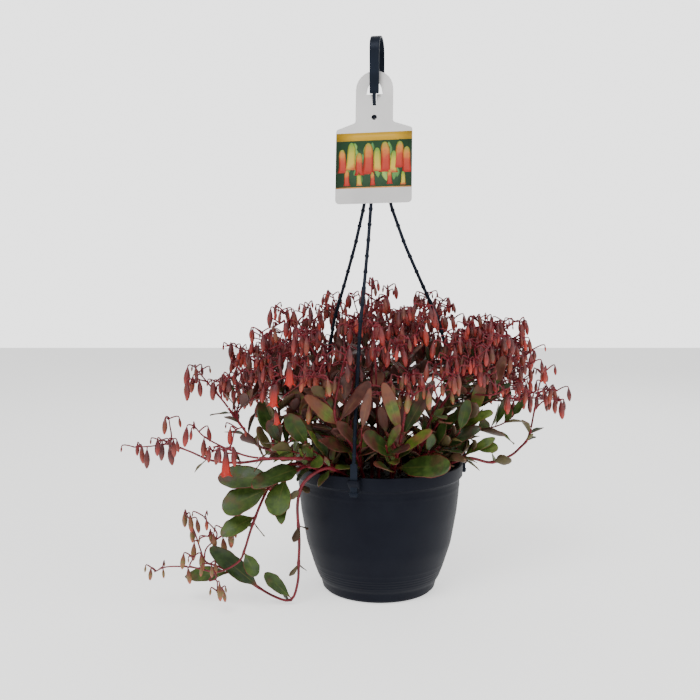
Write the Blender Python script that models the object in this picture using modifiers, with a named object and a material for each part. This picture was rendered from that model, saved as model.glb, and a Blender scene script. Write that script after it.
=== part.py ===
"""A trailing kalanchoe in a plastic hanging pot.

The pot stands with the middle of its underside at the origin. Z is up, and -Y is the front. A three-armed hanger
with a strap hook rises from three lugs on the rim, and a die-cut plant tag hangs on the hanger's neck. The plant
is a set of shoots. Each has a leafy stem that stands in a plain hole in the soil, and most end in a spray of
drooping buds. A shoot's leaves, branches and buds are placed by rules with seeded draws, and each one is turned
about its root until it is clear of everything that was placed before it.
"""

import math

import bmesh
import bpy
import numpy as np
from mathutils import Matrix, Vector

MM = 0.001
GAP = 0.3 * MM
JOIN_GAP = 0.5 * MM
SEED = 41
UP = np.array([0.0, 0.0, 1.0])

# Pot: outer radius and height from foot to rim, in millimetres
POT_PROFILE = [(57, 0), (60.9, 3), (63.1, 11), (65.2, 14), (70.6, 28), (78.1, 51.5), (84.1, 86), (86.1, 105)]
POT_NECK = (87.3, 124.4)
RIM_RADIUS = 90 * MM
RIM_BAND = 13.6 * MM
POT_HEIGHT = 138 * MM
POT_WALL = 1.8 * MM
POT_FLOOR = 2.4 * MM
POT_STEPS = 24
DRAIN_COUNT = 5
DRAIN_RADIUS = 4 * MM
DRAIN_CIRCLE = 36 * MM
SOIL_TOP = 119 * MM
ROOT_DEPTH = 9 * MM
ROOT_CLEARANCE = 1.4 * MM

# Lugs and hanger arms, by azimuth from the front, positive towards +X
ARM_AZIMUTHS = {"front": -16.5, "right": 103.5, "back_left": -136.5}
LUG_WIDTH = 11.4 * MM
LUG_OUT = 101.6 * MM
LUG_HEIGHT = 12 * MM
LUG_TAPER = 4 * MM
TAB_RADIUS = 96.9 * MM
TAB_THICK = 3 * MM
TAB_WIDTH = 7.2 * MM
TAB_TOP = 154 * MM
FOOT_WIDTH = 9.4 * MM
FOOT_HEIGHT = 5 * MM
ARM_RADIUS = 1.65 * MM
NUB_RADIUS = 2.5 * MM
NUB_PITCH = 16.3 * MM
NUB_HALF = 1.3 * MM
# How far an arm stands from the hub's axis at each height, from tab to hub, in millimetres
ARM_HEIGHTS = [154, 200, 245, 290, 330, 370, 412, 460, 498, 501.6]
ARM_SPREAD = [96.9, 89.5, 80, 68, 49.5, 32, 17, 8.6, 3.1, 3.0]

# Hub, neck and strap hook
HUB_X = -5.4 * MM
HUB_Y = 4 * MM
HUB_BOTTOM = 502 * MM
HUB_TOP = 510 * MM
HUB_RADIUS = 4.7 * MM
NECK_RADIUS = 1.65 * MM
NECK_ROUTE = [(-6, -2.5, 529), (-6, -1.6, 523), (-5.8, 1.5, 518), (-5.5, 3.6, 513), (-5.4, 4, 508)]
STRAP_WIDTH = 9.6 * MM
STRAP_THICK = 2.8 * MM
STRAP_FOOT = Vector((-6, -2.5, 526.6)) * MM
STRAP_TURN = math.radians(-12)
HOOK_DEPTH = 30 * MM
HOOK_SHOULDER = 45.5 * MM
HOOK_TIP = 22.5 * MM

# Tag, in its own plane from the foot of its slot
TAG_ORIGIN = Vector((-5.8, 0, 514.6)) * MM
TAG_LEAN = math.radians(9.5)
TAG_TILT = math.radians(1)
TAG_TURN = math.radians(-11)
TAG_THICK = 0.8 * MM
TAG_HALF = 40.3 * MM
TAG_BOTTOM = -103.8 * MM
TAG_SHOULDER = -24.8 * MM
TAG_SLOPE = 19
TAG_CORNER = 4 * MM
TAG_BEND = 3 * MM
TAG_NECK_HALF = 19.8 * MM
TAG_TOP = 37.4 * MM
SLOT_HALF = 2.2 * MM
OPENING_FOOT = 12 * MM
OPENING_TOP = 24.5 * MM
OPENING_HALF = 8.6 * MM
HOLE_DROP = 12.5 * MM
HOLE_RADIUS = 3 * MM

# Plant
STEM_RADIUS = (1.9 * MM, 1.2 * MM)
SPRAY_RADIUS = (1.1 * MM, 0.7 * MM)
FORK_RADII = (0.95 * MM, 0.6 * MM)
FORK_LENGTHS = (26 * MM, 38 * MM)
STALK_RADIUS = 0.5 * MM
LEAF_THICK = 1.0 * MM
# Where the columns of a unit grid, from -1 to 1, fall along a leaf
LEAF_COLUMNS = (-1, -1 / 3, 1 / 3, 1)
LEAF_STATIONS = (0, 0.34, 0.72, 1)
LEAF_SAMPLE = 1.7 * MM
BUD_LENGTHS = (13 * MM, 25 * MM)
BELL_LENGTH = 29 * MM
CLEARANCE = 0.45 * MM
STEM_TOLERANCE = 0.8 * MM
SPRAY_TOLERANCE = 0.45 * MM
TRIES = 10

COLOURS = {
    "pot": ("1c2129", 0.45),
    "soil": ("1a1714", 0.95),
    "hanger": ("23222e", 0.4),
    "tag": ("b8b6b4", 0.35),
    "leaf": ("4f6a2c", 0.5),
    "spray": ("9a3a30", 0.5),
}


# Scene, materials and shape tools


def clear_scene():
    for thing in list(bpy.data.objects):
        bpy.data.objects.remove(thing)


def new_collection(name):
    collection = bpy.data.collections.new(name)
    bpy.context.scene.collection.children.link(collection)
    return collection


def linear(value):
    return value / 12.92 if value <= 0.04045 else ((value + 0.055) / 1.055) ** 2.4


def make_material(name, colour, roughness):
    material = bpy.data.materials.new(name)
    material.use_nodes = True
    shader = material.node_tree.nodes["Principled BSDF"]
    rgb = [linear(int(colour[i : i + 2], 16) / 255) for i in (0, 2, 4)]
    shader.inputs["Base Color"].default_value = (*rgb, 1)
    shader.inputs["Roughness"].default_value = roughness
    shader.inputs["Metallic"].default_value = 0
    return material


def add_object(name, mesh, collection, material=None):
    thing = bpy.data.objects.new(name, mesh)
    collection.objects.link(thing)
    if material:
        mesh.materials.clear()
        mesh.materials.append(material)
    return thing


def mesh_from(thing):
    """The evaluated mesh of an object, with a curve's loose caps welded on."""
    bpy.context.view_layer.update()
    mesh = bpy.data.meshes.new_from_object(thing.evaluated_get(bpy.context.evaluated_depsgraph_get()))
    made = bmesh.new()
    made.from_mesh(mesh)
    bmesh.ops.remove_doubles(made, verts=made.verts, dist=1e-6)
    made.to_mesh(mesh)
    made.free()
    return mesh


def replace_with_mesh(thing, collection, material=None):
    """The object again as a plain mesh object, under the same name."""
    name, matrix = thing.name, thing.matrix_world.copy()
    mesh = mesh_from(thing)
    bpy.data.objects.remove(thing)
    solid = add_object(name, mesh, collection, material)
    solid.matrix_world = matrix
    return solid


def tube(name, points, radii, collection, material=None, resolution=0):
    """A solid tube along points, with a radius at each, of 4 + 2 * resolution sides."""
    curve = bpy.data.curves.new(name, "CURVE")
    curve.dimensions = "3D"
    curve.bevel_depth = 1
    curve.bevel_resolution = resolution
    curve.use_fill_caps = True
    spline = curve.splines.new("POLY")
    spline.points.add(len(points) - 1)
    for spot, point, radius in zip(spline.points, points, radii):
        spot.co = (*point, 1)
        spot.radius = radius
    return replace_with_mesh(add_object(name, curve, collection), collection, material)


def flat_outline(name, loops, thickness, collection, material=None):
    """A flat plate in the local XY plane. The first loop is its edge, and the others are holes."""
    curve = bpy.data.curves.new(name, "CURVE")
    curve.dimensions = "2D"
    curve.fill_mode = "BOTH"
    curve.extrude = thickness / 2
    for loop in loops:
        spline = curve.splines.new("POLY")
        spline.points.add(len(loop) - 1)
        for spot, (x, y) in zip(spline.points, loop):
            spot.co = (x, y, 0, 1)
        spline.use_cyclic_u = True
    return replace_with_mesh(add_object(name, curve, collection), collection, material)


def box(name, size, collection, material=None):
    made = bmesh.new()
    bmesh.ops.create_cube(made, size=1)
    bmesh.ops.scale(made, vec=size, verts=made.verts)
    mesh = bpy.data.meshes.new(name)
    made.to_mesh(mesh)
    made.free()
    return add_object(name, mesh, collection, material)


def cylinder(name, radius, height, sides, collection, material=None, top_radius=None):
    """A cylinder or cone frustum that stands on its own origin."""
    made = bmesh.new()
    bmesh.ops.create_cone(
        made,
        cap_ends=True,
        segments=sides,
        radius1=radius,
        radius2=radius if top_radius is None else top_radius,
        depth=height,
        matrix=Matrix.Translation((0, 0, height / 2)),
    )
    mesh = bpy.data.meshes.new(name)
    made.to_mesh(mesh)
    made.free()
    return add_object(name, mesh, collection, material)


def turned(name, profile, steps, collection, material=None):
    """A solid of revolution. The profile runs from the axis or an inner edge, down the outer side."""
    mesh = bpy.data.meshes.new(name)
    edges = [(i, i + 1) for i in range(len(profile) - 1)]
    mesh.from_pydata([(r, 0, z) for r, z in profile], edges, [])
    thing = add_object(name, mesh, collection)
    screw = thing.modifiers.new("Turn", "SCREW")
    screw.steps = steps
    screw.render_steps = steps
    screw.use_merge_vertices = True
    screw.merge_threshold = 1e-6
    return replace_with_mesh(thing, collection, material)


def combine(base, others, operation, solver="EXACT"):
    """Joins others to base, or cuts them from it, by one applied Boolean, and removes them."""
    if not others:
        return base
    helpers = new_collection(base.name + " helpers")
    for other in others:
        for owner in list(other.users_collection):
            owner.objects.unlink(other)
        helpers.objects.link(other)
    boolean = base.modifiers.new("Combine", "BOOLEAN")
    boolean.operation = operation
    boolean.operand_type = "COLLECTION"
    boolean.collection = helpers
    boolean.solver = solver
    home = base.users_collection[0]
    material = base.data.materials[0] if base.data.materials else None
    result = replace_with_mesh(base, home, material)
    for other in others:
        bpy.data.objects.remove(other)
    bpy.data.collections.remove(helpers)
    return result


def azimuth_direction(azimuth):
    """The level unit vector at an azimuth in degrees from the front, positive towards +X."""
    angle = math.radians(azimuth)
    return np.array([math.sin(angle), -math.cos(angle), 0.0])


def stand_at(thing, azimuth, radius, height):
    """Places a thing round the pot's axis, with its local X pointing outwards."""
    out = azimuth_direction(azimuth)
    turn = Matrix.Rotation(math.atan2(out[1], out[0]), 4, "Z")
    thing.matrix_world = Matrix.Translation((*(out[:2] * radius), height)) @ turn


# Pot and soil


def outer_radius(height):
    """The pot's outer radius at a height, both in metres."""
    radii = [r * MM for r, _ in POT_PROFILE] + [POT_NECK[0] * MM, RIM_RADIUS, RIM_RADIUS]
    heights = [z * MM for _, z in POT_PROFILE] + [POT_NECK[1] * MM, POT_NECK[1] * MM + 1e-6, POT_HEIGHT]
    return np.interp(height, heights, radii)


def inner_radius(height):
    return np.minimum(outer_radius(height), POT_NECK[0] * MM) - POT_WALL


def pot_profile():
    """The pot's wall as a closed line: the rim's top edge, down the outside, the underside and up the inside."""
    neck_radius, neck_height = POT_NECK[0] * MM, POT_NECK[1] * MM
    outside = [(r * MM, z * MM) for r, z in POT_PROFILE]
    inside = [(float(inner_radius(z * MM)), z * MM) for z in (14, 51.5, 105)]
    foot_inside = (inside[0][0] - 4 * MM, POT_FLOOR)
    rim = [
        (neck_radius - POT_WALL, neck_height),
        (RIM_RADIUS - 2.2 * MM, neck_height + 2 * MM),
        (RIM_RADIUS - 2.2 * MM, POT_HEIGHT),
        (RIM_RADIUS - 0.5 * MM, POT_HEIGHT),
        (RIM_RADIUS, POT_HEIGHT - 0.8 * MM),
        (RIM_RADIUS, POT_HEIGHT - RIM_BAND + 0.6 * MM),
        (RIM_RADIUS - 0.8 * MM, POT_HEIGHT - RIM_BAND),
        (neck_radius, neck_height - 0.4 * MM),
    ]
    return [(0, POT_FLOOR), foot_inside, *inside, *rim, *reversed(outside), (0, 0)]


def make_lug(azimuth, collection):
    """A tapered ear on the rim. Its slot is cut by lug_slot."""
    length = LUG_OUT - RIM_RADIUS + POT_WALL
    lug = box("Lug", (length, LUG_WIDTH, LUG_HEIGHT), collection)
    for vertex in lug.data.vertices:
        if vertex.co.x > 0 and vertex.co.z < 0:
            vertex.co.z += LUG_TAPER
    stand_at(lug, azimuth, LUG_OUT - length / 2, POT_HEIGHT - 0.5 * MM - LUG_HEIGHT / 2)
    return lug


def lug_slot(azimuth, collection):
    slot = box("Slot", (TAB_THICK + 2 * GAP, TAB_WIDTH + 2 * GAP, 40 * MM), collection)
    stand_at(slot, azimuth, TAB_RADIUS, POT_HEIGHT - 10 * MM)
    return slot


def make_pot(collection, material):
    pot = turned("Pot", pot_profile(), POT_STEPS, collection, material)
    pot = combine(pot, [make_lug(azimuth, collection) for azimuth in ARM_AZIMUTHS.values()], "UNION")
    cutters = [lug_slot(azimuth, collection) for azimuth in ARM_AZIMUTHS.values()]
    for i in range(DRAIN_COUNT):
        drain = cylinder("Drain", DRAIN_RADIUS, 20 * MM, 8, collection)
        stand_at(drain, i * 360 / DRAIN_COUNT, DRAIN_CIRCLE, -10 * MM)
        cutters.append(drain)
    return combine(pot, cutters, "DIFFERENCE")


def make_soil(roots, collection, material):
    """Compost that fills the pot, with a plain hole for each root."""
    heights = [105 * MM, 51.5 * MM, 14 * MM]
    wall = [(float(inner_radius(z)) - GAP - 0.2 * MM, z) for z in heights]
    top = [(0, SOIL_TOP), (70 * MM, SOIL_TOP), (float(inner_radius(SOIL_TOP)) - 0.9 * MM, SOIL_TOP - 2.5 * MM)]
    foot = [(wall[-1][0] - 5 * MM, POT_FLOOR + GAP), (0, POT_FLOOR + GAP)]
    soil = turned("Soil", [*top, *wall, *foot], POT_STEPS, collection, material)
    holes = []
    for x, y, _ in roots:
        hole = cylinder("Hole", STEM_RADIUS[0] + ROOT_CLEARANCE, 3 * ROOT_DEPTH, 4, collection)
        hole.location = (x, y, SOIL_TOP - ROOT_DEPTH)
        holes.append(hole)
    return combine(soil, holes, "DIFFERENCE")


# Hanger and tag


def arm_point(azimuth, height):
    """A point on an arm's centre line. Its foot stands over the lug, and its head is at the hub."""
    spread = np.interp(height, np.array(ARM_HEIGHTS) * MM, np.array(ARM_SPREAD) * MM)
    hub_share = 1 - spread / (ARM_SPREAD[0] * MM)
    hub = np.array([HUB_X, HUB_Y, 0.0]) * hub_share
    return hub + azimuth_direction(azimuth) * spread + UP * height


def arm_line(azimuth):
    """The arm's points and radii, with a ring nub at each pitch."""
    foot, head = ARM_HEIGHTS[0] * MM, ARM_HEIGHTS[-1] * MM
    heights, radii = [foot - 2 * MM], [ARM_RADIUS]
    nub = foot + NUB_PITCH / 2
    while nub < head - NUB_PITCH / 2:
        heights += [nub - NUB_HALF, nub, nub + NUB_HALF]
        radii += [ARM_RADIUS, NUB_RADIUS, ARM_RADIUS]
        nub += NUB_PITCH
    heights.append(head)
    radii.append(ARM_RADIUS)
    return [arm_point(azimuth, z) for z in heights], radii


def make_arm(name, azimuth, collection, material):
    points, radii = arm_line(azimuth)
    points[0] = points[1] * np.array([1, 1, 0]) + UP * (TAB_TOP - 2 * MM)
    arm = tube(name, points, radii, collection, material)
    lug_foot = POT_HEIGHT - 0.5 * MM - LUG_HEIGHT
    tab = box("Tab", (TAB_THICK, TAB_WIDTH, TAB_TOP - lug_foot + FOOT_HEIGHT), collection)
    stand_at(tab, azimuth, TAB_RADIUS, (TAB_TOP + lug_foot - FOOT_HEIGHT) / 2)
    foot = box("Foot", (TAB_THICK + 1.2 * MM, FOOT_WIDTH, FOOT_HEIGHT - GAP), collection)
    stand_at(foot, azimuth, TAB_RADIUS, lug_foot - (FOOT_HEIGHT + GAP) / 2)
    return combine(arm, [tab, foot], "UNION")


def strap_outline():
    """The strap's edge seen from its side, as a J upside down. X runs to the back, and Y up from its foot."""
    half, reach = STRAP_THICK / 2, HOOK_DEPTH / 2
    turns = np.linspace(math.pi, 0, 13)
    outer = [(reach + (reach + half) * math.cos(t), HOOK_SHOULDER + (reach + half) * math.sin(t)) for t in turns]
    inner = [(reach + (reach - half) * math.cos(t), HOOK_SHOULDER + (reach - half) * math.sin(t)) for t in turns]
    tip = [(HOOK_DEPTH + half, HOOK_TIP + 2 * MM), (HOOK_DEPTH, HOOK_TIP), (HOOK_DEPTH - half, HOOK_TIP + 2 * MM)]
    return [(-half, 0), *outer, *tip, *reversed(inner), (half, 0)]


def make_hook(collection, material):
    """Hub, neck and strap hook, moulded as one."""
    strap = flat_outline("Strap", [strap_outline()], STRAP_WIDTH, collection)
    upright = Matrix(((0, 0, 1, 0), (1, 0, 0, 0), (0, 1, 0, 0), (0, 0, 0, 1)))
    strap.matrix_world = Matrix.Translation(STRAP_FOOT) @ Matrix.Rotation(STRAP_TURN, 4, "Z") @ upright
    route = smooth_route(np.array(NECK_ROUTE) * MM, 7)
    neck = tube("Neck", route, [NECK_RADIUS] * len(route), collection, resolution=1)
    hub = cylinder("Hook", HUB_RADIUS, HUB_TOP - HUB_BOTTOM, 12, collection, material, top_radius=NECK_RADIUS)
    hub.location = (HUB_X, HUB_Y, HUB_BOTTOM)
    bpy.context.view_layer.update()
    return combine(hub, [neck, strap], "UNION")


def arc(centre, radius, start, end, count):
    """Points on an arc, with its angles in degrees."""
    turns = np.radians(np.linspace(start, end, count))
    return [(centre[0] + radius * math.cos(t), centre[1] + radius * math.sin(t)) for t in turns]


def tag_outline():
    """A label whose shoulders slope up to a round-topped neck. TAG_SLOPE is in degrees."""
    corner = TAG_CORNER
    low = arc((TAG_HALF - corner, TAG_BOTTOM + corner), corner, -90, 0, 4)
    neck_foot = TAG_SHOULDER + (TAG_HALF - TAG_NECK_HALF) * math.tan(math.radians(TAG_SLOPE))
    bend_rise = TAG_BEND * math.tan(math.radians(90 - TAG_SLOPE) / 2)
    high = arc((TAG_HALF - TAG_BEND, TAG_SHOULDER - bend_rise), TAG_BEND, 0, 90 - TAG_SLOPE, 4)
    notch = arc((TAG_NECK_HALF + TAG_BEND, neck_foot + bend_rise), TAG_BEND, -90 - TAG_SLOPE, -180, 4)
    top = arc((0, TAG_TOP - TAG_NECK_HALF), TAG_NECK_HALF, 0, 84, 7)
    right = [*low, *high, *notch, *top]
    return right + [(-x, y) for x, y in reversed(right)]


def tag_opening():
    """The bell-shaped opening with the slot under it."""
    right = [
        (SLOT_HALF, 0),
        (SLOT_HALF, OPENING_FOOT),
        (OPENING_HALF, OPENING_FOOT),
        (OPENING_HALF * 0.86, OPENING_TOP - 6 * MM),
        (OPENING_HALF * 0.62, OPENING_TOP - 1.4 * MM),
        (OPENING_HALF * 0.25, OPENING_TOP),
    ]
    return right + [(-x, y) for x, y in reversed(right)]


def make_tag(collection, material):
    hole = arc((0, -HOLE_DROP), HOLE_RADIUS, 0, 330, 12)
    tag = flat_outline("Tag", [tag_outline(), tag_opening(), hole], TAG_THICK, collection, material)
    upright = Matrix.Rotation(TAG_TURN, 4, "Z") @ Matrix.Rotation(math.radians(90) - TAG_LEAN, 4, "X")
    tag.matrix_world = Matrix.Translation(TAG_ORIGIN) @ upright @ Matrix.Rotation(TAG_TILT, 4, "Z")
    return tag


# Routes and leaf shape


def unit(vector):
    return vector / np.linalg.norm(vector)


def smooth_route(points, count):
    """Evenly spaced points on the Catmull-Rom curve through the given ones."""
    points = np.asarray(points, float)
    ends = np.vstack([2 * points[0] - points[1], points, 2 * points[-1] - points[-2]])
    t = np.linspace(0, 1, 12, endpoint=False)[:, None]
    spans = [
        0.5 * (2 * b + (c - a) * t + (2 * a - 5 * b + 4 * c - d) * t**2 + (3 * b - a - 3 * c + d) * t**3)
        for a, b, c, d in zip(ends, ends[1:], ends[2:], ends[3:])
    ]
    return evenly(np.vstack([*spans, points[-1:]]), 0, 1, count)


def evenly(line, start, end, count):
    """Count points along a line, between two shares of its length."""
    run = np.concatenate([[0], np.cumsum(np.linalg.norm(np.diff(line, axis=0), axis=1))])
    at = np.linspace(start, end, count) * run[-1]
    return np.stack([np.interp(at, run, line[:, k]) for k in range(3)], axis=1)


def at_share(line, share):
    """The point and unit tangent at a share of a line's length."""
    before, point, after = evenly(line, max(share - 0.03, 0), min(share + 0.03, 1), 3)
    return point, unit(after - before)


def blade_half(s):
    """Half the width of a leaf at s of its length, as a share of its widest: a petiole, then a blunt oval."""
    u = np.clip((s - 0.1) / 0.9, 0, 1)
    return 0.1 + 0.9 * np.sin(math.pi * 0.9 * u**0.85) ** 0.8


def blade_points(leaf, s, w):
    """Points on a leaf's middle surface. s runs from root to tip, and w from -1 to 1 across."""
    s, w = np.broadcast_arrays(s, w)
    side = np.cross(leaf["normal"], leaf["along"])
    half = leaf["width"] / 2 * blade_half(s)
    forward = leaf["length"] * (s - 0.07 * w**2 * s**4)
    lift = leaf["cup"] * half * w**2 - leaf["arch"] * leaf["length"] * s**2
    return (
        leaf["root"]
        + forward[..., None] * leaf["along"]
        + (half * w)[..., None] * side
        + lift[..., None] * leaf["normal"]
    )


# The book of places taken, which keeps every piece clear of the others


class Space:
    """Round spots that stand for what has been placed, each with its owner's name."""

    def __init__(self):
        self.spots = np.empty((0, 3))
        self.radii = np.empty(0)
        self.owners = np.empty(0, dtype=object)

    def add(self, points, radii, owner):
        self.spots = np.vstack([self.spots, points])
        self.radii = np.append(self.radii, np.broadcast_to(radii, len(points)))
        self.owners = np.append(self.owners, np.full(len(points), owner, dtype=object))

    def is_clear(self, points, radii, but=()):
        """Whether round spots keep their clearance from the pot, the ground and all other owners' spots."""
        radii = np.broadcast_to(radii, len(points))
        if not clear_of_pot(points, radii).all():
            return False
        reach = radii.max() + 4 * MM
        near = ((self.spots > points.min(axis=0) - reach) & (self.spots < points.max(axis=0) + reach)).all(axis=1)
        for owner in but:
            near &= self.owners != owner
        if not near.any():
            return True
        apart = np.linalg.norm(points[:, None] - self.spots[near][None], axis=2)
        return (apart - radii[:, None] - self.radii[near][None]).min() > CLEARANCE


def clear_of_pot(points, radii):
    """Which spots are clear of the wall, the soil and the ground."""
    across = np.hypot(points[:, 0], points[:, 1])
    height = points[:, 2]
    margin = radii + CLEARANCE
    outside = across > np.maximum(outer_radius(height - margin), outer_radius(height + margin)) + margin
    inside = (across < inner_radius(height - margin) - margin) & (height > SOIL_TOP + margin)
    above = height > POT_HEIGHT + margin
    return (outside | inside | above) & (height > margin)


def fill_with_hardware(space):
    """Marks the hanger's arms, tabs and lugs as taken."""
    for name, azimuth in ARM_AZIMUTHS.items():
        heights = np.arange(ARM_HEIGHTS[0] * MM, ARM_HEIGHTS[-1] * MM, 2 * MM)
        space.add(np.array([arm_point(azimuth, z) for z in heights]), NUB_RADIUS, "arm " + name)
        out = azimuth_direction(azimuth)
        side = np.cross(UP, out)
        for z in np.arange(118, 156, 3) * MM:
            spots = [out * TAB_RADIUS + side * offset + UP * z for offset in (-3 * MM, 0, 3 * MM)]
            space.add(np.array(spots), 3.6 * MM, "arm " + name)


# Shoots: how each one starts and runs


def shoot(root, route, split=0.62, pairs=2, first=0.42, size=32, buds=4, leaves=(), bells=()):
    """One shoot, in millimetres and degrees. root is (azimuth, radius), split the stem's share of the route."""
    return {
        "root": azimuth_direction(root[0]) * root[1] * MM,
        "route": np.array(route, float) * MM,
        "split": split,
        "pairs": pairs,
        "first": first,
        "size": size * MM,
        "buds": buds,
        "leaves": leaves,
        "bells": bells,
    }


def arching(root, tip_azimuth, reach, height, **rest):
    """A shoot that rises from its root and arches out to a tip at a reach and a height."""
    start = azimuth_direction(root[0]) * root[1]
    end = azimuth_direction(tip_azimuth) * reach
    soil = SOIL_TOP / MM
    low = start + 0.14 * (end - start) + UP * (soil + 0.30 * (height - soil))
    middle = start + 0.52 * (end - start) + UP * (soil + 0.72 * (height - soil))
    high = start + 0.86 * (end - start) + UP * (soil + 0.98 * (height - soil))
    return shoot(root, [low, middle, high, end + UP * height], **rest)


# A hand-placed leaf is (share of the stem, tip, width), and faces the front and up.
SHOOTS = {
    "left_long": shoot(
        (-54, 46),
        [(-79, -56, 150), (-112, -66, 153), (-143, -60, 148), (-173, -50, 148), (-198, -45, 157),
         (-220, -40, 163), (-238, -40, 161), (-256, -40, 160)],
        split=0.72, first=0.45, size=26, buds=6,
    ),
    "left_upright": shoot(
        (-76, 50),
        [(-98, -34, 152), (-128, -30, 160), (-147, -22, 181), (-164, -20, 204), (-178, -20, 221), (-196, -20, 243)],
        split=0.74, first=0.5, size=30, buds=6,
    ),
    "left_low": shoot(
        (-40, 43),
        [(-63, -73, 153), (-88, -92, 159), (-122, -94, 160), (-146, -88, 165), (-174, -84, 178), (-186, -82, 190)],
        split=0.66, first=0.6, size=26, buds=5, bells=(3,),
    ),
    "left_cluster": shoot(
        (-46, 62),
        [(-73, -64, 145), (-88, -78, 141), (-104, -86, 134), (-112, -87, 126)],
        split=1, pairs=0,
        leaves=[(0.98, (-158, -92, 108), 30), (0.86, (-163, -86, 141), 26),
                (0.6, (-126, -108, 138), 22), (0.8, (-106, -98, 103), 26)],
    ),
    "trailing_long": shoot(
        (-30, 59),
        [(-53, -81, 147), (-76, -82, 134), (-84, -75, 110), (-83, -66, 69), (-84, -63, 45), (-85, -62, 24),
         (-92, -62, 5), (-110, -62, 9), (-134, -60, 23), (-150, -60, 32), (-168, -60, 40), (-180, -60, 45),
         (-185, -60, 58), (-191, -60, 77), (-199, -60, 96)],
        split=0.8, pairs=0, buds=6,
        leaves=[(0.74, (-118, -70, 36), 14), (0.86, (-172, -72, 64), 20), (0.97, (-204, -52, 28), 16)],
    ),
    "trailing_short": shoot(
        (-63, 62),
        [(-87, -50, 145), (-106, -68, 137), (-119, -78, 114), (-130, -83, 86), (-137, -81, 64), (-144, -78, 50),
         (-165, -78, 40), (-190, -76, 44), (-216, -74, 44), (-230, -72, 38)],
        split=0.66, pairs=0, buds=4,
        leaves=[(0.74, (-160, -92, 82), 20), (0.5, (-98, -100, 96), 15), (0.95, (-124, -92, 40), 15)],
    ),
    "right_arch": shoot(
        (62, 60),
        [(88, -34, 147), (117, -26, 141), (138, -18, 146), (151, -10, 154), (161, -4, 165), (168, 0, 196),
         (173, 0, 223), (180, 0, 238)],
        split=0.7, first=0.6, size=24, buds=6,
    ),
    "right_high": arching((72, 44), 100, 161, 286, buds=6),
    "front_left": shoot(
        (-18, 54),
        [(-26, -66, 160), (-34, -76, 176), (-46, -82, 198), (-44, -82, 224), (-38, -80, 250), (-34, -84, 266)],
        split=0.64, pairs=0, buds=5,
        leaves=[(0.86, (-13, -98, 236), 15), (0.83, (-74, -94, 222), 16), (0.5, (-62, -98, 178), 15)],
    ),
    "front_right": shoot(
        (12, 56),
        [(16, -74, 158), (20, -84, 182), (24, -88, 208), (34, -92, 224), (44, -98, 228)],
        split=0.66, pairs=0, buds=4,
        leaves=[(0.84, (2, -96, 234), 14), (0.8, (50, -84, 236), 15), (0.62, (46, -106, 190), 14),
                (0.56, (-17, -104, 186), 22), (0.4, (66, -104, 154), 28), (0.34, (-6, -106, 156), 18)],
    ),
    "front_low_right": arching((44, 50), 38, 118, 240, size=30, buds=5),
    "front_high": arching((-2, 36), -6, 84, 288, size=30),
    "front_crown": arching((28, 26), 40, 74, 306, size=30),
    "crown": arching((-40, 12), -60, 10, 334, buds=6),
    "left_front_high": arching((-62, 34), -50, 108, 278, buds=5),
    "left_high": arching((-98, 56), -98, 170, 260, size=30, buds=6),
    "left_back_high": arching((-112, 36), -118, 134, 300, buds=3),
    "left_back_low": arching((-128, 60), -126, 176, 222, buds=3),
    "back_left_high": arching((-150, 38), -152, 118, 314, buds=3),
    "back_left_low": arching((-164, 62), -162, 168, 252, buds=3),
    "back_high": arching((170, 24), 172, 92, 322, buds=3),
    "back_right_low": arching((164, 61), 164, 172, 262, buds=3),
    "back_right_high": arching((138, 36), 142, 134, 306, buds=3),
    "right_back_low": arching((128, 60), 130, 178, 242, buds=3),
    "right_front": arching((58, 38), 66, 140, 276),
}


def full_route(plan):
    """The whole centre line, which rises straight out of its hole in the soil."""
    root = plan["root"]
    start = [root + UP * z for z in (SOIL_TOP - ROOT_DEPTH + GAP, SOIL_TOP + 3 * MM, SOIL_TOP + 9 * MM)]
    return smooth_route(np.vstack([start, plan["route"]]), 120)


def share_out(line, split):
    """The stem's and the spray's lines, which meet with a small gap."""
    length = np.linalg.norm(np.diff(line, axis=0), axis=1).sum()
    if split >= 1:
        return line, None
    return evenly(line, 0, split, 60), evenly(line, split + JOIN_GAP / length, 1, 40)


def taper(line, radii):
    return np.linspace(radii[0], radii[1], len(line))


def simplified(line, tolerance):
    """The fewest of a line's own points that keep it within a tolerance. Columns past the third come along."""
    chord = line[-1, :3] - line[0, :3]
    offsets = np.linalg.norm(np.cross(line[:, :3] - line[0, :3], unit(chord)), axis=1)
    worst = int(offsets.argmax())
    if offsets[worst] <= tolerance:
        return line[[0, -1]]
    before = simplified(line[: worst + 1], tolerance)
    return np.vstack([before[:-1], simplified(line[worst:], tolerance)])


def tapered_tube(name, line, radii, tolerance, collection, material=None):
    """A tube along the simplified line, with its radius running from one value to the other."""
    points = simplified(np.column_stack([line, taper(line, radii)]), tolerance)
    return tube(name, points[:, :3], points[:, 3], collection, material)


# Leaves


def leaf_at(line, share, direction, length, width, rng):
    """A leaf that leaves its stem in a direction, with its upper face towards the stem's tip."""
    point, tangent = at_share(line, share)
    along = unit(direction)
    facing = tangent + 0.5 * UP
    normal = unit(facing - facing.dot(along) * along)
    return {
        "root": point - along * 0.4 * MM,
        "along": along,
        "normal": normal,
        "length": length,
        "width": width,
        "cup": rng.uniform(0.15, 0.4),
        "arch": rng.uniform(0.02, 0.14),
    }


def placed_leaf(line, share, tip, width, rng):
    """A leaf from its stem to a given tip, facing the front and up."""
    point, _ = at_share(line, share)
    along = unit(tip - point)
    facing = np.array([-0.1, -0.75, 0.65])
    return {
        "root": point - along * 0.4 * MM,
        "along": along,
        "normal": unit(facing - facing.dot(along) * along),
        "length": float(np.linalg.norm(tip - point)),
        "width": width,
        "cup": rng.uniform(0.15, 0.3),
        "arch": rng.uniform(0.0, 0.08),
    }


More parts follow.
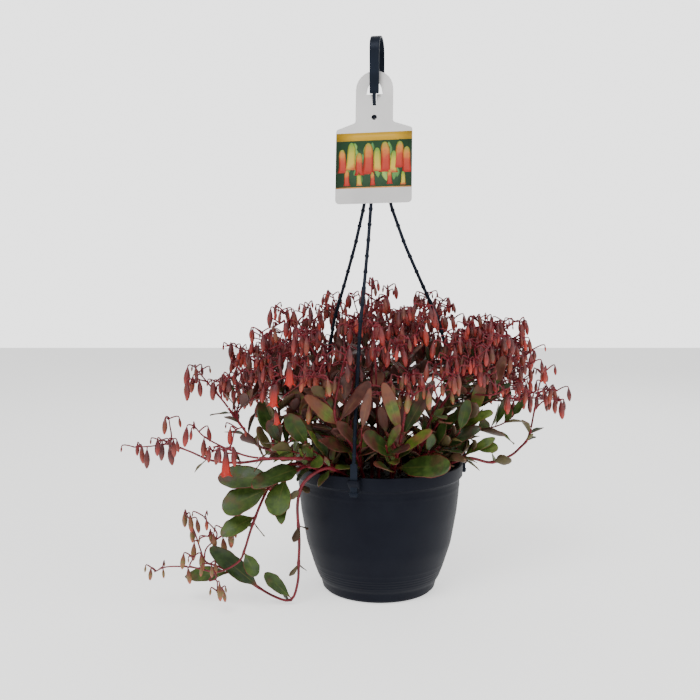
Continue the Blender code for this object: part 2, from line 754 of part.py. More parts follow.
def leaf_spots(leaf):
    """Round spots over a leaf, past its petiole."""
    rows = max(int(leaf["length"] / (2.6 * MM)), 5)
    columns = max(int(leaf["width"] / (2.8 * MM)), 3)
    s = np.linspace(0.1, 1, rows)[:, None]
    w = np.linspace(-1, 1, columns)[None, :]
    return blade_points(leaf, s, w).reshape(-1, 3)


def leaf_frame(tangent):
    """Two unit vectors square to a stem, the first of them level."""
    level = np.cross(UP, tangent)
    level = unit(level) if np.linalg.norm(level) > 0.05 else np.array([1.0, 0, 0])
    return level, np.cross(tangent, level)


def grow_leaves(name, plan, line, space, rng):
    """The shoot's opposite pairs, each pair square to the one before."""
    own = (name + " stem",)
    leaves = []
    for share, tip, width in plan["leaves"]:
        leaf = placed_leaf(line, share, np.array(tip) * MM, width * MM, rng)
        leaves.append(leaf)
        space.add(leaf_spots(leaf), LEAF_SAMPLE, own[0])
    for pair in range(plan["pairs"]):
        share = plan["first"] + (0.96 - plan["first"]) * pair / max(plan["pairs"] - 1, 1)
        _, tangent = at_share(line, share)
        level, across = leaf_frame(tangent)
        for facing in (1, -1):
            length = plan["size"] * (1.2 - 0.35 * share) * rng.uniform(0.85, 1.1)
            start = math.pi / 2 * pair + rng.uniform(-0.3, 0.3)
            rise = rng.uniform(0.45, 0.8)
            for attempt in range(TRIES):
                angle = start + 0.35 * (attempt + 1) // 2 * (-1) ** attempt
                out = facing * (math.cos(angle) * level + math.sin(angle) * across)
                direction = out + rise * tangent + 0.12 * UP
                shrink = 0.96**attempt
                leaf = leaf_at(line, share, direction, length * shrink, (0.8 - 0.36 * share) * length * shrink, rng)
                if space.is_clear(leaf_spots(leaf), LEAF_SAMPLE, but=own):
                    leaves.append(leaf)
                    space.add(leaf_spots(leaf), LEAF_SAMPLE, own[0])
                    break
    return leaves


# Sprays


def bud_line(root, side, rise, reach, length):
    """A thin stalk that leads sideways and up, then the bud that hangs from it."""
    bend = root + side * reach + UP * rise
    hang = unit(-UP + 0.12 * side)
    return np.array([root, bend, bend + hang * 0.55 * length, bend + hang * length])


def bud_radii(length, is_bell):
    """Radii at a bud's points. A bud is a spindle three times as long as wide, and a bell flares."""
    if is_bell:
        return [STALK_RADIUS, 1.6 * STALK_RADIUS, 0.15 * length, 0.2 * length]
    return [STALK_RADIUS, 1.4 * STALK_RADIUS, 0.15 * length, 0.04 * length]


def bud_spots(line, radii):
    """Round spots along a bud and its stalk, past the stalk's root."""
    spots = evenly(line[1:], 0, 1, 9)
    run = np.concatenate([[0], np.cumsum(np.linalg.norm(np.diff(line[1:], axis=0), axis=1))])
    return spots, np.interp(np.linspace(0, 1, 9) * run[-1], run, radii[1:])


def grow_bud(branch, share, is_bell, own, space, rng):
    """A bud on a branch, turned about its root until it is clear, or None."""
    point, _ = at_share(branch, share)
    turn = rng.uniform(0, 2 * math.pi)
    reach, rise = rng.uniform(5, 9) * MM, rng.uniform(1, 4) * MM
    length = BELL_LENGTH if is_bell else rng.uniform(*BUD_LENGTHS)
    radii = bud_radii(length, is_bell)
    for attempt in range(TRIES):
        angle = turn + 2.4 * attempt
        side = np.array([math.cos(angle), math.sin(angle), 0.0])
        line = bud_line(point, side, rise, reach, length)
        spots, sizes = bud_spots(line, radii)
        if space.is_clear(spots, sizes, but=own):
            return {"line": line, "radii": radii}
    return None


def fork_line(main, share, turn, length):
    """A line that forks from the spray's main one, bends outwards and up, and arches over at its tip."""
    point, tangent = at_share(main, share)
    level, across = leaf_frame(tangent)
    side = math.cos(turn) * level + math.sin(turn) * across
    knee = point + (0.6 * tangent + 0.6 * side) * 0.45 * length
    shoulder = point + (0.75 * side + 0.45 * UP) * 0.85 * length
    end = point + (1.02 * side + 0.36 * UP) * length
    return smooth_route(np.array([point, knee, shoulder, end]), 14)


def grow_spray(name, plan, main, space, rng):
    """The spray's fork, then buds on both lines, from the tips inwards."""
    spray = {"main": main, "forks": [], "buds": []}
    own = (name + " spray",)
    length = rng.uniform(*FORK_LENGTHS)
    turn = rng.uniform(0, 2 * math.pi)
    for attempt in range(TRIES):
        fork = fork_line(main, 0.3, turn + 0.9 * attempt, length * 0.95**attempt)
        if space.is_clear(fork[3:], FORK_RADII[0], but=own):
            spray["forks"].append(fork)
            space.add(fork, FORK_RADII[0], own[0])
            break
    lines = [main, *spray["forks"]]
    for i in range(plan["buds"]):
        line = lines[i % len(lines)]
        share = 0.985 - (i // len(lines)) * 0.62 * len(lines) / plan["buds"]
        bud = grow_bud(line, share, i in plan["bells"], own, space, rng)
        if bud:
            spray["buds"].append(bud)
            space.add(*bud_spots(bud["line"], bud["radii"]), name + " bud")
    return spray


def grow_plant():
    """Every shoot's stem, leaves and spray. Stems are placed first, then leaves, then buds."""
    space = Space()
    fill_with_hardware(space)
    plant = {}
    for name, plan in SHOOTS.items():
        stem, spray = share_out(full_route(plan), plan["split"])
        plant[name] = {"plan": plan, "stem": stem, "leaves": [], "spray": None, "spray_line": spray}
        space.add(stem, taper(stem, STEM_RADIUS), name + " stem")
        if spray is not None:
            space.add(spray, taper(spray, SPRAY_RADIUS), name + " spray")
    for index, (name, grown) in enumerate(plant.items()):
        rng = np.random.default_rng(SEED + index)
        grown["leaves"] = grow_leaves(name, grown["plan"], grown["stem"], space, rng)
    for index, (name, grown) in enumerate(plant.items()):
        if grown["spray_line"] is not None:
            rng = np.random.default_rng(SEED + 100 + index)
            grown["spray"] = grow_spray(name, grown["plan"], grown["spray_line"], space, rng)
    return plant


# Plant solids


def leaf_object(leaf, collection):
    """A thin blade of even thickness, from a shaped grid that is cut into triangles before it is thickened."""
    made = bmesh.new()
    bmesh.ops.create_grid(made, x_segments=3, y_segments=2, size=1)
    spots = np.array([vertex.co for vertex in made.verts])
    s = np.interp(spots[:, 0], LEAF_COLUMNS, LEAF_STATIONS)
    w = np.where(s > 0, spots[:, 1], 0)
    for vertex, point in zip(made.verts, blade_points(leaf, s, w)):
        vertex.co = point
    bmesh.ops.remove_doubles(made, verts=made.verts, dist=1e-6)
    bmesh.ops.triangulate(made, faces=made.faces)
    mesh = bpy.data.meshes.new("Leaf")
    made.to_mesh(mesh)
    made.free()
    blade = add_object("Leaf", mesh, collection)
    solidify = blade.modifiers.new("Thickness", "SOLIDIFY")
    solidify.thickness = LEAF_THICK
    solidify.offset = 0
    solidify.use_even_offset = True
    return replace_with_mesh(blade, collection)


def make_stem(name, grown, collection, material):
    stem = tapered_tube(name, grown["stem"], STEM_RADIUS, STEM_TOLERANCE, collection, material)
    blades = [leaf_object(leaf, collection) for leaf in grown["leaves"]]
    return combine(stem, blades, "UNION", "MANIFOLD")


def make_spray(name, spray, collection, material):
    main = tapered_tube(name, spray["main"], SPRAY_RADIUS, SPRAY_TOLERANCE, collection, material)
    parts = [tapered_tube("Fork", line, FORK_RADII, SPRAY_TOLERANCE, collection) for line in spray["forks"]]
    parts += [tube("Bud", bud["line"], bud["radii"], collection) for bud in spray["buds"]]
    return combine(main, parts, "UNION", "MANIFOLD")


def main():
    clear_scene()
    basket = new_collection("Kalanchoe hanging basket")
    materials = {name: make_material(name, *looks) for name, looks in COLOURS.items()}
    plant = grow_plant()
    make_pot(basket, materials["pot"])
    make_soil([grown["stem"][0] for grown in plant.values()], basket, materials["soil"])
    make_hook(basket, materials["hanger"])
    for name, azimuth in ARM_AZIMUTHS.items():
        make_arm("Arm_" + name, azimuth, basket, materials["hanger"])
    make_tag(basket, materials["tag"])
    for name, grown in plant.items():
        make_stem("Stem_" + name, grown, basket, materials["leaf"])
        if grown["spray"]:
            make_spray("Spray_" + name, grown["spray"], basket, materials["spray"])


main()
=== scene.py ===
# %% [markdown]
# A kalanchoe in a hanging pot.
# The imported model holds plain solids: a pot, its soil, a three-armed hanger with a strap hook, a plant tag, and 25
# leafy stems with 24 sprays of drooping buds. This script keeps where they are, and gives each one its finished
# surface. It also adds what is too small or too many for the solids, such as most of the leaves and buds.

# %% Load the frame
import math
from functools import partial

import bpy
import numpy as np
from mathutils import Matrix, Vector


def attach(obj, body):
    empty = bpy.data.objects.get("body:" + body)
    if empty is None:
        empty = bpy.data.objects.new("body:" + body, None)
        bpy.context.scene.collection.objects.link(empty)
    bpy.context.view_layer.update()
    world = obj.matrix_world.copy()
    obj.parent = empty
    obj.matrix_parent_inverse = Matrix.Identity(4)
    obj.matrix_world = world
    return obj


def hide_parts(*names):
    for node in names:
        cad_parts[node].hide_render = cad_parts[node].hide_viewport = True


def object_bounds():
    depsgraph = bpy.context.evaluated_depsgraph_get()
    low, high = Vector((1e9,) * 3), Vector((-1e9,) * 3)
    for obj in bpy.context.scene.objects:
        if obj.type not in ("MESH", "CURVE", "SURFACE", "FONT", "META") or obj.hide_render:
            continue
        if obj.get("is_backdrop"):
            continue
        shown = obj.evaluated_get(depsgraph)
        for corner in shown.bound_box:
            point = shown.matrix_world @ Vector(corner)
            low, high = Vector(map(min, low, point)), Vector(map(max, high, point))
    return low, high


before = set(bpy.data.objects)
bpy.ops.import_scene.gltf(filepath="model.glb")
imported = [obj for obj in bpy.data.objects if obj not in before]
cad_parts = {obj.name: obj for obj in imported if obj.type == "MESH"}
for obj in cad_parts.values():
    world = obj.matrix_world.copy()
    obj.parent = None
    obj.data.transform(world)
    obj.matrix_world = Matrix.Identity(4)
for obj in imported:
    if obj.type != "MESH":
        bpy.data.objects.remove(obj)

MM = 0.001
UP = np.array([0.0, 0.0, 1.0])
cad_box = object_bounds()
print("nodes in the frame:", len(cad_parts))

# %% [markdown]
# Colours are written the way a paint program shows them, as sRGB hex values. Blender's shaders work on linear light,
# so one function turns each value. A second function adds a node to a material, with its settings and links, because
# every finish below is a small network of the same few steps. An input takes a link, a colour or a plain value.


# %% Colour and node helpers
def rgb(colour):
    """Linear red, green, blue and alpha of an sRGB hex colour: a straight part near black, then a power of 2.4."""
    values = np.array([int(colour[i : i + 2], 16) for i in (0, 2, 4)]) / 255
    line = np.where(values <= 0.04045, values / 12.92, ((values + 0.055) / 1.055) ** 2.4)
    return (*line.tolist(), 1.0)


def fill_inputs(material, node, inputs):
    """Links each input that is given a socket, and sets the others, with hex colours turned to linear light."""
    for name, value in inputs.items():
        if isinstance(value, bpy.types.NodeSocket):
            material.node_tree.links.new(value, node.inputs[name])
        else:
            node.inputs[name].default_value = rgb(value) if isinstance(value, str) else value


def add_node(material, kind, inputs, stops=(), **settings):
    """Adds a node, sets its properties, inputs and colour stops, and gives its outputs."""
    node = material.node_tree.nodes.new("ShaderNode" + kind)
    for name, value in settings.items():
        setattr(node, name, value)
    fill_inputs(material, node, inputs)
    for place, (position, colour) in enumerate(stops):
        ramp = node.color_ramp.elements
        stop = ramp[place] if place < 2 else ramp.new(position)
        stop.position, stop.color = position, rgb(colour)
    return node.outputs


def new_material(name, colour, roughness, **inputs):
    """A material with one Principled shader, and the shader's node."""
    material = bpy.data.materials.new(name)
    material.use_nodes = True
    shader = material.node_tree.nodes["Principled BSDF"]
    inputs = {socket.replace("_", " "): value for socket, value in inputs.items()}
    fill_inputs(material, shader, {"Base Color": colour, "Roughness": roughness, **inputs})
    return material, shader


print("linear value of mid grey:", round(rgb("808080")[0], 4))

# %% [markdown]
# Almost everything on this basket is a long thing with a section: a rod, a stem, a stalk, a bud, a strap, even a
# leaf, which is a tube squashed flat. So one idea makes nearly all the surfaces. A form is a stack of rings of
# points, and each end is closed by one point. Numpy works out whole stacks at once, and a list of forms becomes one
# mesh. Values for the materials, such as how far along a leaf a point is, travel with the points.


# %% Rings of points
def with_ends(values):
    """Values on rings, shaped (forms, rings, around, size), in one list a form, then the mean of each end ring."""
    forms, count, around, size = values.shape
    flat = values.reshape(forms, count * around, size)
    return np.concatenate([flat, values[:, [0, -1]].mean(axis=2)], axis=1)


def ring_faces(count, around):
    """Quads between neighbouring rings, triangles from the end rings to the end points, and each face's band."""
    j = np.arange(around)
    k = (j + 1) % around
    rows = np.arange(count - 1)[:, None] * around
    quads = np.stack([rows + j, rows + k, rows + around + k, rows + around + j], axis=-1).reshape(-1, 4)
    last = (count - 1) * around
    first_end, last_end = np.full(around, count * around), np.full(around, count * around + 1)
    ends = np.vstack([np.stack([first_end, k, j], axis=-1), np.stack([last_end, last + j, last + k], axis=-1)])
    bands = np.repeat(np.arange(count - 1), around)
    end_bands = np.repeat([0, count - 2], around)
    return quads, ends, bands, end_bands


def path_frames(paths):
    """Two unit vectors square to each path, shaped (paths, points, 3), and the tangents.

    The first vector starts as the direction that the tangents keep clearest of, which is their least singular
    direction, so the frame never flips.
    """
    tangents = np.gradient(paths, axis=1)
    tangents /= np.linalg.norm(tangents, axis=2, keepdims=True)
    clearest = np.linalg.svd(tangents, full_matrices=False)[2][:, -1:, :]
    rise = np.cross(tangents, clearest)
    rise /= np.linalg.norm(rise, axis=2, keepdims=True)
    return np.cross(rise, tangents), rise, tangents


def tube_rings(paths, radii, around):
    """Round rings along paths: centre + radius * (cosine * across + sine * rise). The radii are (paths, points)."""
    across, rise, _ = path_frames(paths)
    turns = np.linspace(0, 2 * math.pi, around, endpoint=False)[:, None]
    section = np.cos(turns) * across[:, :, None, :] + np.sin(turns) * rise[:, :, None, :]
    return paths[:, :, None, :] + radii[:, :, None, None] * section


def bar_rings(path, across, rise, half_across, half_rise, around=20, power=0.4):
    """An oblong section along a path: the cosine and sine are raised to a power below 1, which squares the circle."""
    turns = np.linspace(0, 2 * math.pi, around, endpoint=False)
    c = np.sign(np.cos(turns)) * np.abs(np.cos(turns)) ** power
    s = np.sign(np.sin(turns)) * np.abs(np.sin(turns)) ** power
    wide = np.reshape(half_across, (-1, 1, 1)) * c[None, :, None] * across[:, None, :]
    deep = np.reshape(half_rise, (-1, 1, 1)) * s[None, :, None] * rise[:, None, :]
    return (path[:, None, :] + wide + deep)[None]


# %% A piece from its forms
class Piece:
    """Gathers forms, then makes them one mesh object that rides on the root body."""

    def __init__(self, *forms):
        self.points, self.quads, self.ends = [], [], []
        self.quad_slots, self.end_slots = [], []
        self.values = {"spot": [], "kind": []}
        self.count = 0
        for rings in forms:
            self.add(rings)

    def add(self, rings, slot=0, spot=0.0, kind=0.0):
        """Adds forms. slot is a material's number, for all or for each band. spot and kind go to the materials."""
        forms, count, around, _ = rings.shape
        quads, ends, bands, end_bands = ring_faces(count, around)
        starts = self.count + np.arange(forms)[:, None, None] * (count * around + 2)
        self.points.append(with_ends(rings).reshape(-1, 3))
        self.quads.append((starts + quads).reshape(-1, 4))
        self.ends.append((starts + ends).reshape(-1, 3))
        slots = np.broadcast_to(slot, (count - 1,))
        self.quad_slots.append(np.tile(slots[bands], forms))
        self.end_slots.append(np.tile(slots[end_bands], forms))
        for name, value in (("spot", spot), ("kind", kind)):
            self.values[name].append(with_ends(np.broadcast_to(value, rings.shape)).reshape(-1, 3))
        self.count += forms * (count * around + 2)

    def make(self, name, materials, slot, replaces=(), sharp=None):
        """The mesh object, with its materials and the nodes that it stands for. Its finish slot is not used."""
        mesh = bpy.data.meshes.new(name)
        faces = np.vstack(self.quads).tolist() + np.vstack(self.ends).tolist()
        mesh.from_pydata(np.vstack(self.points), [], faces)
        for material in materials:
            mesh.materials.append(material)
        mesh.polygons.foreach_set("material_index", np.concatenate(self.quad_slots + self.end_slots))
        for label, parts in self.values.items():
            layer = mesh.attributes.new(label, "FLOAT_VECTOR", "POINT")
            layer.data.foreach_set("vector", np.vstack(parts).astype(np.float32).ravel())
        mesh.shade_smooth()
        if sharp:
            mesh.set_sharp_from_angle(angle=sharp)
        thing = bpy.data.objects.new(name, mesh)
        bpy.context.scene.collection.objects.link(thing)
        settle(thing, replaces)
        return thing


def settle(thing, replaces=()):
    """Sets what a finished piece rides on, and hides the nodes that it stands for."""
    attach(thing, "root")
    for node in replaces:
        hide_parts(node)


print("faces in a form of 10 rings of 7:", sum(len(part) for part in ring_faces(10, 7)[:2]))

# %% [markdown]
# The photograph is a cut-out on white, taken from about a metre away and a little above the middle of the basket, so
# the camera looks down by some five degrees. The light in it is soft and comes from all round, with a little more
# from above and in front. Three wide area lights and a pale sky give that. The sky is shown brighter than it lights,
# so that the backdrop is pale and the dark plastic still stays dark. The floor is plain and pale.

# %% Camera, lights and floor
CAMERA_PLACE = (-0.0313, -1.0, 0.347)
CAMERA_PITCH = math.radians(5.1)
CAMERA_LENS = 48.2
FLOOR_SIZE = 6.0
FLOOR_DROP = 0.5 * MM
LIGHTS_AIM = Vector((0, 0, 0.25))
SKY_LIGHT = 0.55
SKY_SHOWN = 2.6

camera = bpy.data.objects.new("Camera", bpy.data.cameras.new("Camera"))
camera.data.lens = CAMERA_LENS
camera.location = CAMERA_PLACE
camera.rotation_euler = (math.pi / 2 - CAMERA_PITCH, 0, 0)
bpy.context.scene.collection.objects.link(camera)
bpy.context.scene.camera = camera

# Each light's place, width in metres and power in watts
LIGHTS = {"Key": ((-0.5, -1.1, 1.6), 1.0, 24), "Fill": ((1.4, -0.4, 0.9), 1.0, 7), "Back": ((0.3, 1.3, 1.3), 1.2, 9)}
for name, (place, size, power) in LIGHTS.items():
    light = bpy.data.objects.new(name, bpy.data.lights.new(name, "AREA"))
    light.data.size, light.data.energy = size, power
    light.location = place
    light.rotation_euler = (LIGHTS_AIM - Vector(place)).to_track_quat("-Z", "Y").to_euler()
    bpy.context.scene.collection.objects.link(light)

world = bpy.data.worlds.new("Pale sky")
world.use_nodes = True
sky = world.node_tree.nodes["Background"]
seen = add_node(world, "LightPath", {})["Is Camera Ray"]
strength = add_node(world, "MapRange", {"Value": seen, "To Min": SKY_LIGHT, "To Max": SKY_SHOWN})["Result"]
fill_inputs(world, sky, {"Color": "ffffff", "Strength": strength})
bpy.context.scene.world = world

corners = np.array([(-1, -1), (1, -1), (1, 1), (-1, 1)]) * FLOOR_SIZE / 2
floor_mesh = bpy.data.meshes.new("Floor")
floor_mesh.from_pydata([(x, y, -FLOOR_DROP) for x, y in corners], [], [(0, 1, 2, 3)])
card, _ = new_material("Matt white card", "f4f4f2", 0.9, Emission_Color="ffffff", Emission_Strength=0.95)
floor_mesh.materials.append(card)
floor = bpy.data.objects.new("Floor", floor_mesh)
bpy.context.scene.collection.objects.link(floor)
floor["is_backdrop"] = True
print("camera at", CAMERA_PLACE)

# %% [markdown]
# The pot is injection-moulded polypropylene, nearly black with a blue cast. Such plastic comes from a finely
# spark-textured mould, so it is matt and has a broad soft highlight. Two things carry its look: a fine grain in the
# bump, and faint cloudy changes in roughness where hands and water have touched it. The grain of such a mould is
# about 0.3 mm, and it is drawn at 0.8 mm, because finer grain wouldn't show from a metre away.

# %% Pot plastic
GRAIN = 0.8 * MM
CLOUD = 35 * MM
PLASTIC_SHINE = 0.13


def moulded_plastic(name, dark, pale, roughness, grain_height):
    """Matt moulded plastic: a fine grain as bump, and soft clouds that shift its colour and roughness."""
    material, shader = new_material(name, dark, roughness, Specular_IOR_Level=PLASTIC_SHINE, Specular_Tint="c3cbe2")
    node = partial(add_node, material)
    place = node("TexCoord", {})["Object"]
    cloud = node("TexNoise", {"Vector": place, "Scale": 1 / CLOUD, "Detail": 3.0, "Roughness": 0.6})["Fac"]
    colour = node("ValToRGB", {"Fac": cloud}, [(0.3, dark), (0.75, pale)])["Color"]
    dull = node("MapRange", {"Value": cloud, "To Min": roughness - 0.06, "To Max": roughness + 0.1})["Result"]
    grain = node("TexNoise", {"Vector": place, "Scale": 1 / GRAIN, "Detail": 2.0})["Fac"]
    relief = node("Bump", {"Height": grain, "Strength": 0.35, "Distance": grain_height})["Normal"]
    fill_inputs(material, shader, {"Base Color": colour, "Roughness": dull, "Normal": relief})
    return material


pot_plastic = moulded_plastic("Blue-black polypropylene", "0c0d15", "13151c", 0.5, 0.12 * MM)
print("grain every", GRAIN / MM, "mm")

# %% [markdown]
# The pot is turned about its axis, so its surface is a line of radius and height carried round a circle. The line
# runs from the middle of the underside, up the outside with its stepped foot and faint moulding rings, over the
# thick rim band with its rounded edges, and down the inside to the floor. Small arcs round every edge, because a
# moulded edge is never sharp, and catches a thin highlight.

# %% Pot body
# The solid's wall: outer radius and height in millimetres, from the foot to the neck under the rim band
POT_PROFILE = [(57, 0), (60.9, 3), (63.1, 11), (65.2, 14), (70.6, 28), (78.1, 51.5), (84.1, 86), (86.1, 105)]
POT_NECK = (87.3, 124.4)
RIM_RADIUS = 90 * MM
RIM_BAND = 13.6 * MM
POT_HEIGHT = 138 * MM
POT_WALL = 1.8 * MM
POT_FLOOR = 2.4 * MM
POT_AROUND = 120
EDGE_ROUND = 0.8 * MM
# Raised moulding rings: height, half width and how far each stands out, in millimetres
RINGS = ((114, 1.1, 0.35), (17, 0.7, 0.25), (20, 0.7, 0.25), (23, 0.7, 0.25), (26, 0.7, 0.25))
DRAIN_COUNT = 5
DRAIN_RADIUS = 4 * MM
DRAIN_CIRCLE = 36 * MM
DRAIN_AROUND = 24
POT_SHARP = math.radians(50)


def outer_radius(height):
    """The pot's outer radius at a height, both in metres."""
    radii = [r * MM for r, _ in POT_PROFILE] + [POT_NECK[0] * MM, RIM_RADIUS, RIM_RADIUS]
    heights = [z * MM for _, z in POT_PROFILE] + [POT_NECK[1] * MM, POT_NECK[1] * MM + 1e-6, POT_HEIGHT]
    return np.interp(height, heights, radii)


def inner_radius(height):
    """The pot's inner radius at a height: the wall's thickness in from the neck at most."""
    return np.minimum(outer_radius(height), POT_NECK[0] * MM) - POT_WALL


def arc_line(centre, radius, start, end, count=6):
    """Radius and height along an arc, with its angles in degrees."""
    turns = np.radians(np.linspace(start, end, count))
    return np.column_stack([centre[0] + radius * np.cos(turns), centre[1] + radius * np.sin(turns)])


def pot_line():
    """The whole section as rows of radius and height, from the underside's middle to the floor's middle."""
    band_foot = POT_HEIGHT - RIM_BAND
    heights = np.concatenate([np.linspace(3, 31, 56), np.linspace(32, 122.5, 54)]) * MM
    wall = outer_radius(heights)
    smooth = np.convolve(np.pad(wall, 2, mode="edge"), np.full(5, 0.2), mode="valid")
    rings = sum(out * MM * np.exp(-(((heights / MM - z) / half) ** 2)) for z, half, out in RINGS)
    inside = np.linspace(POT_HEIGHT - 12 * MM, 14 * MM, 20)
    return np.vstack(
        [
            [(20 * MM, 0.6 * MM), (44 * MM, 0.6 * MM), (46 * MM, 0), (56.2 * MM, 0)],
            arc_line((57 * MM, 2.2 * MM), 2.2 * MM, -70, -10),
            np.column_stack([smooth + rings, heights]),
            arc_line((RIM_RADIUS - EDGE_ROUND, band_foot + EDGE_ROUND), EDGE_ROUND, -90, 0),
            arc_line((RIM_RADIUS - EDGE_ROUND, POT_HEIGHT - EDGE_ROUND), EDGE_ROUND, 0, 90),
            arc_line((RIM_RADIUS - 1.4 * MM, POT_HEIGHT - EDGE_ROUND), EDGE_ROUND, 90, 180),
            np.column_stack([inner_radius(inside), inside]),
            [(float(inner_radius(14 * MM)) - 4 * MM, POT_FLOOR), (20 * MM, POT_FLOOR)],
        ]
    )


def turned_rings(line, around):
    """A line of radius and height carried round the Z axis."""
    turns = np.linspace(0, 2 * math.pi, around, endpoint=False)
    x, y = line[:, :1] * np.cos(turns), line[:, :1] * np.sin(turns)
    return np.stack([x, y, np.broadcast_to(line[:, 1:], x.shape)], axis=-1)[None]


def azimuth_direction(azimuth):
    """The level unit vector at an azimuth in degrees from the front, positive towards +X."""
    angle = math.radians(azimuth)
    return np.array([math.sin(angle), -math.cos(angle), 0.0])


# %% [markdown]
# Three ears stand out of the rim band and hold the hanger's tabs. Each is a short upright bar of oblong section that
# narrows below, so that the pot leaves its mould. The floor has five drain holes. They are cut by a Boolean, which
# is the plain way to take round holes out of a finished shell.

# %% Ears and drain holes
ARM_AZIMUTHS = {"front": -16.5, "right": 103.5, "back_left": -136.5}
LUG_OUT = 101.6 * MM
LUG_HEIGHT = 12 * MM
LUG_TAPER = 4 * MM
LUG_TOP = POT_HEIGHT - 0.5 * MM
LUG_ROOT = 88 * MM


def upright_bar(azimuth, radii, heights, half_out, half_side, power=0.3, around=24):
    """An upright bar at an azimuth. Radius, height and both half widths are given for each ring."""
    out = azimuth_direction(azimuth)
    side = np.cross(UP, out)
    path = np.outer(radii, out) + np.outer(heights, UP)
    ones = np.ones((len(path), 1))
    return bar_rings(path, ones * out, ones * side, np.array(half_out), np.array(half_side), around, power)


def lug_rings(azimuth):
    """An ear of the rim, with its underside rising outwards and its edges rounded."""
    heights = LUG_TOP - np.array([LUG_HEIGHT, LUG_HEIGHT - 0.6 * MM, LUG_TAPER, 0.6 * MM, 0])
    outs = np.array([5 * MM, 5.8 * MM, LUG_OUT - LUG_ROOT, LUG_OUT - LUG_ROOT, LUG_OUT - LUG_ROOT - 0.6 * MM])
    widths = np.array([4.8, 5.4, 5.7, 5.7, 5.2]) * MM
    return upright_bar(azimuth, LUG_ROOT + outs / 2, heights, outs / 2, widths)


def cut_drains(pot):
    """Takes the drain holes out of the floor."""
    turns = np.arange(DRAIN_COUNT) * 2 * math.pi / DRAIN_COUNT - math.pi / 2
    places = DRAIN_CIRCLE * np.stack([np.cos(turns), np.sin(turns), 0 * turns], axis=-1)
    drill = turned_rings(np.array([(DRAIN_RADIUS, -6 * MM), (DRAIN_RADIUS, 8 * MM)]), DRAIN_AROUND)
    quads, ends, _, _ = ring_faces(2, DRAIN_AROUND)
    starts = np.arange(DRAIN_COUNT)[:, None, None] * (2 * DRAIN_AROUND + 2)
    mesh = bpy.data.meshes.new("Drills")
    faces = (starts + quads).reshape(-1, 4).tolist() + (starts + ends).reshape(-1, 3).tolist()
    mesh.from_pydata(with_ends(drill + places[:, None, None]).reshape(-1, 3), [], faces)
    drills = bpy.data.objects.new("Drills", mesh)
    bpy.context.scene.collection.objects.link(drills)
    boolean = pot.modifiers.new("Drain holes", "BOOLEAN")
    boolean.operation, boolean.solver, boolean.object = "DIFFERENCE", "EXACT", drills
    bpy.context.view_layer.update()
    cut = bpy.data.meshes.new_from_object(pot.evaluated_get(bpy.context.evaluated_depsgraph_get()))
    pot.modifiers.clear()
    pot.data = cut
    bpy.data.objects.remove(drills)


pot = Piece(turned_rings(pot_line(), POT_AROUND)).make("Pot_body", [pot_plastic], "pot", ["Pot"], sharp=POT_SHARP)
cut_drains(pot)
Piece(*map(lug_rings, ARM_AZIMUTHS.values())).make("Pot_ears", [pot_plastic], "pot", sharp=POT_SHARP)
print("pot faces:", len(pot.data.polygons))

# %% [markdown]
# The soil is peat compost: dark brown, crumbly and dry on top, with a few paler bits. Only its top shows, between
# the lowest leaves. Its height is a sum of waves of falling size with a seeded phase, which gives lumps of many
# sizes. Loose crumbs lie on it, each a small squashed form of few faces.

# %% Soil
SOIL_TOP = 119 * MM
SOIL_SEED = 7
CRUMB_COUNT = 260
SOIL_ROWS = 46
SOIL_AROUND = 130
SOIL_GAP = 0.3 * MM
CRUMB_PATCH = 3 * MM
CRUMB_REACH = 80 * MM
WAVES = 24


def compost():
    """Compost: dark brown with crumb-sized patches, rough all over, and a strong grainy bump."""
    material, shader = new_material("Peat compost", "1c1714", 0.95)
    node = partial(add_node, material)
    place = node("TexCoord", {})["Object"]
    crumbs = node("TexNoise", {"Vector": place, "Scale": 1 / CRUMB_PATCH, "Detail": 5.0})["Fac"]
    colour = node("ValToRGB", {"Fac": crumbs}, [(0.3, "120e0c"), (0.55, "241c16"), (0.78, "4a3a2c")])["Color"]
    relief = node("Bump", {"Height": crumbs, "Strength": 0.8, "Distance": MM})["Normal"]
    fill_inputs(material, shader, {"Base Color": colour, "Normal": relief})
    return material


def lumps(x, y, rng):
    """A sum of waves over the plane, with lengths from 40 to 4 mm, each as high as a forty-fifth of its length."""
    lengths = np.geomspace(40, 4, WAVES) * MM
    headings, phases = rng.uniform(0, 2 * math.pi, (2, WAVES))
    along = x[..., None] * np.cos(headings) + y[..., None] * np.sin(headings)
    return (np.sin(2 * math.pi * along / lengths + phases) * lengths / 45).sum(axis=-1)


def soil_rings(rng):
    """From the bottom's middle up the wall, then over the lumpy top to its middle."""
    wall_heights = np.linspace(14, 116, 12) * MM
    wall = np.column_stack([inner_radius(wall_heights) - 0.5 * MM, wall_heights])
    bottom = [(20 * MM, POT_FLOOR + SOIL_GAP), (wall[0, 0] - 5 * MM, POT_FLOOR + SOIL_GAP)]
    radii = np.linspace(wall[-1, 0] - 1.2 * MM, 2 * MM, SOIL_ROWS)
    line = np.vstack([bottom, wall, np.column_stack([radii, 0 * radii + SOIL_TOP])])
    rings = turned_rings(line, SOIL_AROUND)
    top = rings[0, -SOIL_ROWS:]
    rim_fade = np.clip(np.linspace(0, 6, SOIL_ROWS), 0, 1)[:, None]
    top[..., 2] += lumps(top[..., 0], top[..., 1], rng) * rim_fade - 0.6 * MM
    return rings


